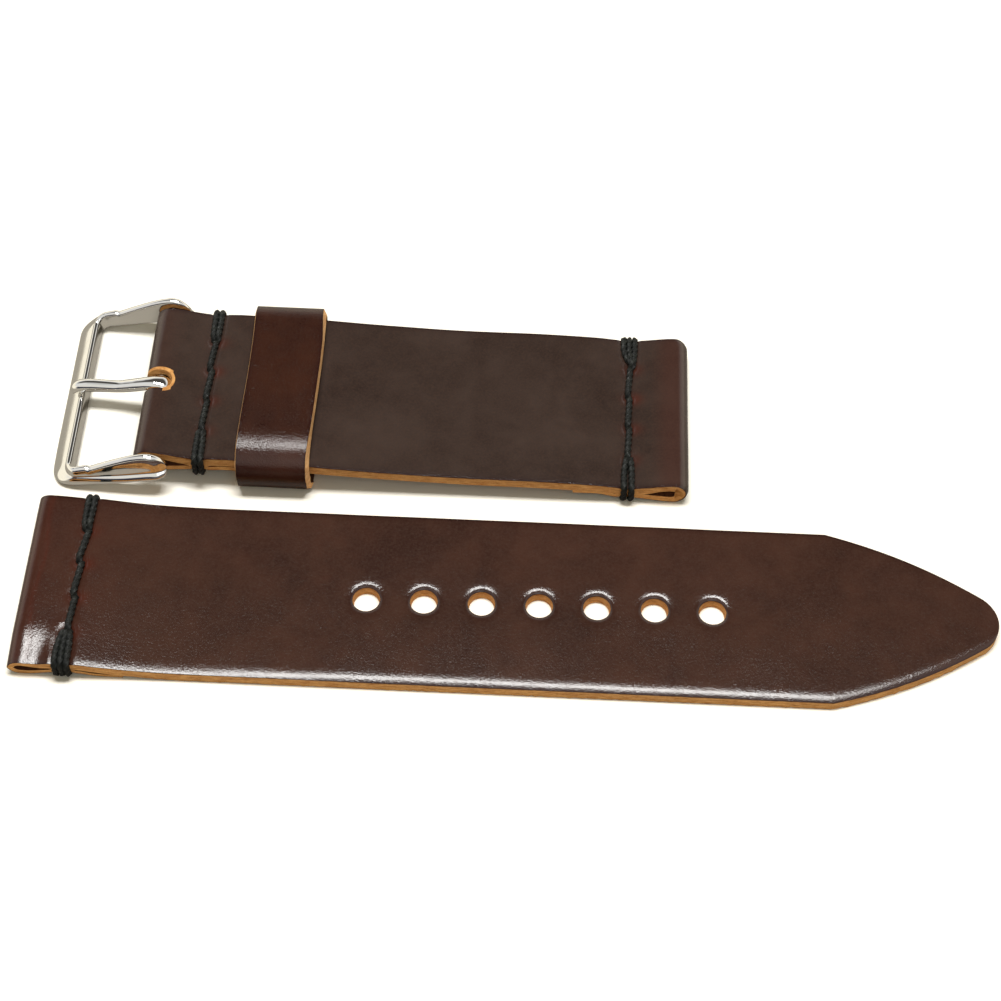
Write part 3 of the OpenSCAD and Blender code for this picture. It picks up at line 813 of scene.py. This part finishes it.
def pointTail(points, x, v):
    # the strap's end drawn in to the tail's outline. v runs from -1 to 1 across it
    outline = tailOutline()
    along = lengthsAlong(outline)
    share = np.clip((x - longHalf["taperFrom"]) / (longHalf["tip"] - longHalf["taperFrom"]), 0, 1)
    tail = share > 0
    outX, outY = (np.interp(share * along[-1], along, values) for values in outline.T)
    points[tail, 0] = (outX + (longHalf["tip"] - outline[-1, 0]) * share**2 * (1 - v * v))[tail]
    points[tail, 1] = (outY * v)[tail]
    return longHalf["width"] / 2 * np.where(tail, outY / longHalf["taperHalf"], 1)


def finishEdges(piece):
    # holes a little narrower at the underside, and the near side cut on a slant, so that its raw
    # edge shows
    points = readPoints(piece)
    depth = np.clip(readValues(piece, "depth"), 0, 1)
    x, y = points[:, 0] - longX, points[:, 1] - longY
    rim = (x > 14) & (depth > 0.02) & (y < 0)
    rim &= np.abs(y) > np.interp(x, [99, 117, 119], [11.2, 4.8, 0.5])
    for hole, middle in zip(longHalf["holes"], longHalf["middles"]):
        r = np.hypot(x - hole, y - middle)
        inward = longHalf["punched"] * depth * np.clip(1 - (r - longHalf["holeRadius"]) / 0.5, 0, 1)
        points[:, 0] -= (x - hole) / r * inward
        points[:, 1] -= (y - middle) / r * inward
    fray = np.array([noise.noise(Vector((p[0] * 1.9, p[2] * 1.2, 4.0)))
                     + 0.6 * noise.noise(Vector((p[0] * 5.0, p[2] * 3.0, 9.0))) for p in points])
    out = (0.10 + 0.12 * fray * (1 + softStep(95, 112, x))) * depth * softStep(14, 20, x)
    points[:, 1] -= np.where(rim, out, 0)
    writePoints(piece, points)


def makeLongHalf():
    path = longPath()
    piece, row, y = drawStrip("longHalfLeather", path, (0, 1, 0), longHalf["width"], longHalf["columns"])
    for hole, middle in zip(longHalf["holes"], longHalf["middles"]):
        punchHole(piece, hole, middle)
    points = readPoints(piece)
    points[:, 1] = crowdEdges(points[:, 1], longHalf["width"] / 2)
    x, y = points[:, 0].copy(), points[:, 1].copy()
    top = onTop(path)[nearest(path[:, [0, 2]], points[:, [0, 2]])]
    # grain rolled into each punched hole
    roll = np.zeros(len(points))
    for hole, middle in zip(longHalf["holes"], longHalf["middles"]):
        r = np.hypot(x - hole, y - middle)
        roll += np.where(top, np.exp(-np.maximum(r - longHalf["holeRadius"], 0) / 0.30), 0)
    v = y / longHalf["taperHalf"]
    side = pointTail(points, x, v)
    pull = sinkRow(points, x, y, longLugPlan, top & (x < 12), 1)
    sinkRow(points, x, y, longLugPlan, ~top & (x < 12), -1)
    # a crease beside the fold, where the loop was pressed
    crease = np.where(top, bell(x - 1.9 - 0.25 * np.sin(y * 0.5), 0.22), 0)
    points[:, 2] -= 0.04 * crease
    # edges rounded by burnishing, most along the near side. The loop lies lower near its near end
    inFrom = side * (1 - np.abs(v))
    near = np.where(y < 0, 0.4 + 0.6 * softStep(14, 50, x), 0.25)
    rolled = np.where(top, 0.21 * near * np.clip(1 - inFrom / 1.25, 0, 1) ** 2 + 0.26 * roll, 0)
    press = longHalf["pressed"] * softStep(-6.5, -12.5, y) * (1 - softStep(3.4, 5.6, x))
    points[:, 2] -= np.where(top | (points[:, 2] > 1.5), press * softStep(0.9, 2.4, points[:, 2]), 0)
    points = roughen(points, 0.05, 8.0, 11.0)
    points[:, 2] = np.where(~top, np.maximum(points[:, 2], 0.0), points[:, 2])
    wall = np.where(top, longHalf["wall"], longHalf["turned"])
    wall = np.where(x < 6, longHalf["foldWall"] + np.where(top, 0.6, -0.2) * softStep(0.5, 6, x), wall)
    wall = np.where((x >= 6) & (x < 14) & top, 1.38 + 0.18 * softStep(8, 14, x), wall)
    edge = np.maximum(softStep(11.2, 12, np.abs(y)), 0.85 * roll)
    pull += 0.22 * (1 - softStep(0, 3.5, x)) + 0.12 * (1 - softStep(6, 16, x)) + 0.35 * crease
    writePoints(piece, points + np.array([longX, longY, 0]))
    paint(piece, "edge", np.clip(edge, 0, 1))
    paint(piece, "pull", np.clip(pull, 0, 1))
    paint(piece, "roll", rolled)
    giveWall(piece, wall, 1.6, 0.15, [strapGrain, strapFlesh, strapEdge])
    rollGrain(piece)
    finishEdges(piece)
    return piece


longLeather = makeLongHalf()
print("long half", len(longLeather.data.polygons))


# Keeper: a band with its ends lapped in the underside

keeperPlan = {"x": 11.4, "width": 9.3, "halfOut": 13.52, "height": 6.78, "corner": 2.6, "wall": 1.2,
              "columns": 18, "lapWall": 0.56, "groove": 0.34}


def keeperPath():
    k = keeperPlan
    inY, top, r = k["halfOut"] - k["corner"], k["height"], k["corner"]
    knots = [(-2.4, 0.60), (0.4, 0.60), (2.2, 0.52), (3.6, 0.14), (5.0, 0.0), (8.0, 0.0)]
    knots += arcPoints((inY, r), r, [-90, -60, -30, -4])
    knots += arcPoints((inY - 0.15, top - r - 0.1), r + 0.1, [4, 30, 58, 84])
    knots += [(y, top + z) for y, z in ((6.5, 0.02), (0, 0.04), (-6.5, 0.02), (-9.2, -0.04), (-10.6, -0.30),
                                        (-11.8, -0.86), (-12.75, -1.66), (-13.32, -2.7), (-13.5, -3.5))]
    knots += arcPoints((-inY, r), r, [184, 210, 240, 270])
    knots += [(-8.0, 0.0), (-3, 0.0), (2.2, 0.0)]

    def step(p):
        return 0.16 if abs(p[1]) < 1 and p[2] < 0.3 else 0.36 if abs(p[1]) > 10 else 0.6
    return cutLine(curveThrough([(0, y, z) for y, z in knots]), step)


def makeKeeper():
    k = keeperPlan
    half, place = k["width"] / 2, np.array([bar[0] + k["x"] + k["width"] / 2, bar[1], 0])
    path = keeperPath()
    piece, row, x = drawStrip("keeperBand", path, (1, 0, 0), k["width"], k["columns"])
    points = readPoints(piece)
    y, z = path[row, 1], path[row, 2]
    # cut on a slant: the raw edges look up a little, most at the far and near ends of the right one
    ends = softStep(6.5, 12.5, np.abs(y))
    slant = np.where(x > 0, 0.14 + 0.30 * ends, 0.10) * (z > 0.8)
    points[:, 0] -= np.sign(x) * slant * softStep(half - 1.2, half, np.abs(x))
    along = lengthsAlong(path)
    s, toEnd = along[row], along[-1] - along[row]
    corner = np.maximum(0, 1 - np.abs(np.abs(y) - (k["halfOut"] - k["corner"] + 1.9)) / 1.3)
    wall = k["wall"] - 0.42 * corner * ((z < 2.4) | (z > k["height"] - 2.4))
    wall = np.where(s < 4.6, k["lapWall"], wall)
    wall = np.where(toEnd < 6.0, k["lapWall"] + 0.6 * softStep(0, 2.0, toEnd - 4.2), wall)
    # a groove in the outer end, for the thread that joins the two
    groove = bell(y, 0.3) * (toEnd < 6) * softStep(half - 1.1, half - 1.7, np.abs(x))
    points[:, 2] += k["groove"] * groove
    wall -= 0.32 * groove
    # edges bow a little, as cut by hand
    points[:, 0] += 0.12 * np.sin(y * 0.21 + 0.6) * np.where(z > 3, 1, 0.3)
    points = roughen(points, 0.05, 6.0, 21.0)
    points[:, 2] = np.maximum(points[:, 2], 0.0)
    writePoints(piece, points + place)
    paint(piece, "edge", softStep(half - 0.7, half, np.abs(x)))
    paint(piece, "pull", 0.12 * np.where((y < -9) & (z > 2), 1, 0))
    giveWall(piece, wall, 1.2, 0.10, [keeperGrain, strapFlesh, keeperEdge])
    points = readPoints(piece)
    local = points[:, 0] - place[0]
    ends = softStep(6.5, 12.5, np.abs(points[:, 1] - bar[1]))
    reach = np.where(local > 0, 0.16 + 0.34 * ends, 0.32) * softStep(0.6, 1.6, points[:, 2])
    out = np.sign(local) * readValues(piece, "depth") * reach * 0.9
    points[:, 0] += np.where(np.abs(local) > half - 0.85, out, 0)
    writePoints(piece, points)
    return piece


keeperLeather = makeKeeper()
print("keeper", len(keeperLeather.data.polygons))


# Buckle frame: one ring of points follows a U from the near arm's end to the far one's.
# A section is (outward from the inner wall, height from the bar), before the frame leans forward

framePlan = {"inHalf": 12.2, "reach": 10.25, "front": 13.4, "foot": 1.4, "cornerIn": 0.9, "endRadius": 2.6,
             "wide": 3.1, "blunt": 0.34,
             "arm": [2.57, 2.5, 2.36, 2.1, 1.75, 1.3, 0.8, 0.2, -0.5, -1.3, -2.2, -3.2, -4.2, -5.3, -6.3,
                     -7.0, -7.35, -7.55, -7.65, -7.78, -7.95, -8.3, -8.8, -9.3],
             "corner": [0, 11, 22, 34, 45, 56, 68, 79, 90], "bar": [10.5, 8.0, 5.0, 2.0]}
lean = math.asin(bar[2] / math.hypot(framePlan["front"], framePlan["foot"]))
lean -= math.atan2(framePlan["foot"], framePlan["front"])

frontSection = [(0.15, -1.4), (0.02, -1.25), (0, -0.6), (0.02, 0.05), (0.09, 0.32), (0.24, 0.50),
                (0.44, 0.56), (0.64, 0.50), (0.78, 0.34), (0.84, 0.16), (0.89, 0.05), (1.0, -0.01),
                (1.2, -0.07), (1.8, -0.36), (2.5, -0.72), (2.95, -0.97), (3.12, -1.12), (3.12, -1.26),
                (2.95, -1.37), (2.3, -1.4), (1.4, -1.4), (0.6, -1.4)]


def armSection(ridge, groove):
    foot = -framePlan["foot"]
    return [(0.12, foot), (0, foot + 0.12), (0, (foot + ridge) / 2 - 0.1), (0, ridge - 0.55),
            (0.06, ridge - 0.28), (0.22, ridge - 0.08), (0.48, ridge), (0.76, ridge - 0.07),
            (0.98, ridge - 0.28), (1.11, ridge - 0.60), (1.17, (ridge - 0.60 + groove) / 2),
            (1.20, groove + 0.06), (1.30, groove - 0.04), (1.50, groove - 0.14), (1.72, groove - 0.28),
            (1.90, groove - 0.46), (1.97, max(groove - 0.66, -1.20)), (1.96, -1.32), (1.86, foot),
            (1.5, foot), (1.0, foot), (0.55, foot)]


ridgeAlong = [(-9.5, 0.98), (-8.6, 1.10), (-7.95, 1.14), (-7.75, 1.10), (-7.6, 0.93), (-7.35, 0.94),
              (-6.5, 1.20), (-5.3, 1.55), (-4.2, 1.85), (-3.2, 2.10), (-2.0, 2.38), (-1.0, 2.54),
              (0, 2.6), (3, 2.6)]


def leanForward(points):
    x, y, z = points.T
    c, s = math.cos(lean), math.sin(lean)
    return np.stack([x * c - z * s, y, x * s + z * c], axis=1) + bar


def armRing(x):
    f = framePlan
    ridge, groove = np.interp(x, *zip(*ridgeAlong)), np.interp(x, [-9.5, -7, -3], [-0.02, -0.2, -0.38])
    u, z = np.array(armSection(ridge, groove)).T
    if x > 0:
        # the arm's round end
        rise = math.sqrt(max(f["endRadius"] ** 2 - x * x, 0.01))
        low = -min(f["foot"], rise)
        z = low + (z + f["foot"]) * (rise - low) / (f["endRadius"] + f["foot"])
        u = 0.15 + (u - 0.15) * (1 - 0.62 * softStep(1.0, 2.75, x))
    return np.stack([np.full(len(u), float(x)), f["inHalf"] + u, z], axis=1)


def cornerRing(degrees):
    f = framePlan
    t = math.radians(degrees)
    share = softStep(0, 90, degrees)
    u, z = (np.array(armSection(0.98, -0.02)) * (1 - share) + np.array(frontSection) * share).T
    out = f["cornerIn"] + u - f["blunt"] * math.sin(2 * t) ** 2 * (u / f["wide"]) ** 2
    return np.stack([f["cornerIn"] - f["reach"] - out * math.sin(t),
                     f["inHalf"] - f["cornerIn"] + out * math.cos(t), z], axis=1)


def barRing(y):
    u, z = np.array(frontSection).T
    return np.stack([-framePlan["reach"] - u, np.full(len(u), y), z], axis=1)


def makeFrame():
    half = [armRing(x) for x in framePlan["arm"]] + [cornerRing(a) for a in framePlan["corner"]]
    half += [barRing(y) for y in framePlan["bar"]]
    near = []
    for ring in half:
        x, y, z = ring.T
        # the near corner and flange are a little narrower
        nearX = x + 0.18 * softStep(9, 13, y) * softStep(-12.0, -13.3, x)
        nearY = -y + (0.22 + 0.22 * softStep(-3, -10, x)) * softStep(13.2, 14.4, y)
        near.append(np.stack([nearX, nearY, z], axis=1))
    piece = drawRings("buckleFrameSteel", [leanForward(ring) for ring in near + half[::-1]])
    smooth = piece.modifiers.new("smooth", "SUBSURF")
    smooth.levels = smooth.render_levels = 2
    applyModifiers(piece)
    setMaterials(piece, [mirrorSteel])
    smoothFaces(piece, 60)
    return piece


frameSteel = makeFrame()
print("buckle frame", len(frameSteel.data.polygons))


# Tongue: a rod that narrows at its bend and hooks over the front rim, with an eye round the bar.
# Each knot is x and z from the bar, half the width, and half the thickness

tongueKnots = [(-1.05, -0.95, 1.0, 0.36), (-0.55, -1.27, 1.05, 0.42), (0, -1.38, 1.08, 0.42),
               (0.53, -1.27, 1.08, 0.42), (0.98, -0.98, 1.08, 0.42), (1.27, -0.53, 1.08, 0.42),
               (1.38, 0, 1.08, 0.42), (1.27, 0.53, 1.08, 0.42), (0.98, 0.98, 1.08, 0.42),
               (0.53, 1.27, 1.06, 0.43), (0, 1.32, 1.02, 0.48), (-0.7, 1.26, 0.98, 0.58),
               (-1.6, 0.98, 0.95, 0.70), (-3.0, 0.50, 0.92, 0.78), (-4.4, 0.04, 0.88, 0.76),
               (-5.6, -0.30, 0.82, 0.72), (-7.2, -0.46, 0.84, 0.78), (-8.8, -0.56, 0.88, 0.84),
               (-10.0, -0.68, 0.90, 0.86), (-10.8, -0.90, 0.88, 0.84), (-11.35, -1.32, 0.82, 0.78),
               (-11.65, -1.86, 0.62, 0.58)]


def makeTongue():
    # one rod, flattened where it is rolled round the bar, and bent a little to one side
    knots = [(x, -0.22 + 0.55 * softStep(0, 10, -x), z) for x, z, wide, thick in tongueKnots]
    line = curveThrough(knots, 5)
    share, at = np.linspace(0, 1, len(line)), np.linspace(0, 1, len(knots))
    wide, thick = (np.interp(share, at, sizes) for sizes in list(zip(*tongueKnots))[2:])
    turns = np.linspace(0, 2 * math.pi, 24, endpoint=False)
    rings = []
    for k, point in enumerate(line):
        way = wayAt(line, k)
        side = np.array([0, 1.0, 0]) - way * way[1]
        side = side / np.linalg.norm(side)
        up = np.cross(side, way)
        rings.append(point + np.outer(wide[k] * np.cos(turns), side) + np.outer(thick[k] * np.sin(turns), up))
    last = rings[-1]
    for grow, ahead in ((0.82, 0.16), (0.55, 0.28), (0.22, 0.34)):
        rings.append(line[-1] + wayAt(line, len(line) - 1) * ahead + (last - line[-1]) * grow)
    piece = drawRings("tongueSteel", [ring + bar for ring in rings])
    setMaterials(piece, [mirrorSteel])
    smoothFaces(piece, 40)
    return piece


tongueSteel = makeTongue()
print("tongue", len(tongueSteel.data.polygons))


# Threads: three plies twisted together, drawn ring by ring along each strand

threadPlan = {"sides": 12, "step": 0.2, "lay": 2.6, "core": 0.86, "ply": 0.13}


def threadStrand(name, knots, twistStart):
    t = threadPlan
    line = cutLine(curveThrough(knots, 10), lambda p: t["step"])
    along = lengthsAlong(line)
    around = 2 * math.pi * np.arange(t["sides"]) / t["sides"]
    radius = threadHalf * (t["core"] + t["ply"] * np.cos(3 * around))
    rings, stored, side = [], [], np.array([1.0, 0, 0])
    for k, point in enumerate(line):
        way = wayAt(line, k)
        side = side - way * np.dot(side, way)
        side /= np.linalg.norm(side)
        turn = around + twistStart + along[k] * 2 * math.pi / t["lay"]
        rings.append(point + np.outer(radius * np.cos(turn), side)
                     + np.outer(radius * np.sin(turn), np.cross(way, side)))
        stored += [(along[k] + twistStart * 7, abs(2 * j / t["sides"] - 1)) for j in range(t["sides"])]
    piece = drawRings(name, rings)
    stored = np.array(stored)[nearest(np.vstack(rings), readPoints(piece))]
    paint(piece, "along", stored[:, 0])
    paint(piece, "round", stored[:, 1])
    return piece


def makeStitches(plan, originX, originY, name):
    top, foot = plan["top"] + 0.13, plan["foot"] - 0.13
    strands = []
    for k, (start, end) in enumerate(plan["lean"]):
        a, b = holeY[3 - k], holeY[2 - k]
        for high, up, sway in ((top, 1, 1), (foot, -1, -0.6)):
            strands.append([(x * sway, y, high + up * z) for x, y, z in (
                (start * 0.6, a + 0.05, -0.95), (start * 0.8, a - 0.12, -0.38), (start, a - 0.5, 0),
                (start * 0.7, a - 1.1, 0.06), ((start + end) / 2, (a + b) / 2, 0.07),
                (end * 0.7, b + 1.1, 0.05), (end, b + 0.5, -0.02),
                (end * 0.8, b + 0.12, -0.38), (end * 0.6, b - 0.05, -0.95))])
    for side, wraps in ((1, plan["far"]), (-1, plan["near"])):
        for n, (edge, hole) in enumerate(wraps):
            halves = []
            for high, up, lift, crest in ((top, 1, 0.1 * (n % 2), 0.06), (foot, -1, 0, 0.05)):
                halves.append([(x, side * y, high + up * z) for x, y, z in (
                    (hole * 0.4, 7.22, -0.95), (hole * 0.7, 7.4, -0.3), (hole, 7.8, 0.02 + lift),
                    (edge * 0.6 + hole * 0.4, 8.8, crest + lift), (edge, 10.2, 0.05), (edge, 11.4, 0.05),
                    (edge, 11.98, -0.08), (edge, 12.2, -0.42))])
            strands.append(halves[0] + [(edge, side * 12.22, (top + foot) / 2)] + halves[1][::-1])
    pieces = []
    for n, knots in enumerate(strands):
        shifted = [(x + plan["row"] + originX, y + originY, z) for x, y, z in knots]
        pieces.append(threadStrand(name + str(n), shifted, n * 1.7))
    piece = joinPieces(pieces, name)
    setMaterials(piece, [threadBlack])
    smoothFaces(piece, 60)
    return piece


threadRows = [(bucklePlan, makeStitches(bucklePlan, bar[0], bar[1], "buckleRowThread")),
              (shortLugPlan, makeStitches(shortLugPlan, bar[0], bar[1], "shortLugRowThread")),
              (longLugPlan, makeStitches(longLugPlan, longX, longY, "longLugRowThread"))]
print("threads", [len(piece.data.polygons) for plan, piece in threadRows])


# What rides on what, and what each piece stands for

for piece, body, node, slot in ((shortLeather, "short_half", "short_strap", "strap_leather"),
                                (longLeather, "long_half", "long_strap", "strap_leather"),
                                (keeperLeather, "keeper", "keeper", "keeper_leather"),
                                (frameSteel, "buckle", "buckle_frame", "polished_steel"),
                                (tongueSteel, "tongue", "tongue", "polished_steel")):
    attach(piece, body)
    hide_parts(node)
for plan, piece in threadRows:
    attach(piece, plan["body"])
    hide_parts(plan["node"])

for name in ("spring_bar_tube", "spring_bar_pin_near", "spring_bar_pin_far"):
    setMaterials(nodes[name], [turnedSteel])
setMaterials(nodes["spring_bar_spring"], [springWire])
setMaterials(nodes["keeper_stitch"], [threadBlack])


# Table, light and camera

def makeTable():
    clearSelection()
    bpy.ops.mesh.primitive_plane_add(size=3)
    table = bpy.context.object
    table.name = "table"
    material, w, place = startMaterial("paleTable")
    path = w.add("ShaderNodeLightPath").outputs
    away = w.add("ShaderNodeVectorMath", operation="LENGTH")
    w.join(place, away.inputs[0])
    # what steel and leather mirror: painted shade on the table beside the straps, standing for its shadowed
    # part, and a painted brighter table further out
    paintedMirrorShade = w.mix(w.range(away.outputs["Value"], 0.085, 0.2), (0.29, 0.27, 0.235), (1.1, 1.05, 0.92))
    colour = w.mix(path["Is Glossy Ray"], (0.82, 0.79, 0.72), paintedMirrorShade)
    w.shade(Base_Color=w.mix(path["Is Camera Ray"], colour, (1.04, 1.01, 0.92)), Roughness=0.9,
            Specular_IOR_Level=0.1)
    table.data.materials.append(material)


def addLamp(name, place, size, power, colour):
    # an oblong softbox, wide along the straps
    bpy.ops.object.light_add(type="AREA", location=place)
    lamp = bpy.context.object
    lamp.name = name
    lamp.data.shape = "RECTANGLE"
    lamp.data.size, lamp.data.size_y = size
    lamp.data.energy = power
    lamp.data.color = colour
    lamp.rotation_euler = Vector(place).to_track_quat("Z", "Y").to_euler()


def makeWorld():
    world = bpy.data.worlds.new("studio")
    bpy.context.scene.world = world
    world.use_nodes = True
    world.node_tree.nodes.clear()
    w = Wires(world.node_tree)
    path = w.add("ShaderNodeLightPath").outputs
    split = w.add("ShaderNodeSeparateXYZ")
    w.join(w.add("ShaderNodeTexCoord").outputs["Generated"], split.inputs[0])
    back, height = split.outputs[1], split.outputs[2]

    def zone(backFrom, backTo, heightFrom, heightTo):
        return w.sum("MULTIPLY", w.range(back, backFrom, backTo), w.range(height, heightFrom, heightTo))

    def choose(share, first, second):
        node = w.add("ShaderNodeMixShader")
        for value, socket in zip((share, first, second), node.inputs):
            w.join(value, socket)
        return node.outputs[0]

    def glow(colour, strength):
        return w.set(w.add("ShaderNodeBackground"), Color=colour, Strength=strength)[0]
    # a pale room for the steel: cream near the table, white overhead, grey where the straps' flat
    # tops look, and a dark band low down on the near side
    room = w.mix(w.range(height, 0.25, 0.5), (1.12, 1.05, 0.88), (0.80, 0.80, 0.80))
    room = w.mix(w.range(height, 0.90, 0.97), room, (0.50, 0.50, 0.50))
    room = w.mix(zone(0.12, 0.30, 0.50, 0.66), room, (0.07, 0.065, 0.06))
    room = w.mix(zone(-0.28, -0.43, 0.42, 0.52), room, (0.80, 0.79, 0.75))
    low = w.sum("MULTIPLY", zone(-0.45, -0.65, 0.50, 0.40), w.range(height, -0.02, 0.06))
    room = w.mix(low, room, (0.035, 0.035, 0.055))
    lit = choose(path["Is Glossy Ray"], glow((1.0, 0.91, 0.68), 0.26), glow(room, 1.0))
    seen = w.sum("MAXIMUM", path["Is Camera Ray"], path["Is Transmission Ray"])
    w.join(choose(seen, lit, glow((1, 1, 1), 1.0)), w.add("ShaderNodeOutputWorld").inputs[0])


def makeCamera():
    # fitted to the photograph: angles in radians, place in millimetres, focal length in pixels
    yaw, pitch, roll = -0.02703, 0.97739, 0.02002
    place, focal, photoWidth = Vector((1.7976, -141.5944, 211.262)), 1989.09, 1001
    ahead = Vector((math.sin(yaw) * math.cos(pitch), math.cos(yaw) * math.cos(pitch), -math.sin(pitch)))
    level = Vector((math.cos(yaw), -math.sin(yaw), 0))
    above = level.cross(ahead)
    right = math.cos(roll) * level + math.sin(roll) * above
    up = math.cos(roll) * above - math.sin(roll) * level
    data = bpy.data.cameras.new("photoCamera")
    data.sensor_width = 36
    data.lens = focal / photoWidth * data.sensor_width
    data.clip_start = 0.01
    camera = bpy.data.objects.new("photoCamera", data)
    bpy.context.scene.collection.objects.link(camera)
    turn = Matrix((right, up, -ahead)).transposed().to_4x4()
    camera.matrix_world = Matrix.Translation(place * mm) @ turn
    bpy.context.scene.camera = camera


makeTable()
addLamp("softboxOverhead", (0.0, 0.088, 0.575), (0.38, 0.12), 3.9, (1.0, 0.99, 0.97))
addLamp("softboxFront", (0.10, -0.36, 0.48), (0.3, 0.3), 0.25, (1.0, 1.0, 1.0))
makeWorld()
makeCamera()
bpy.context.scene.view_settings.view_transform = "Standard"
print("table, light and camera set")
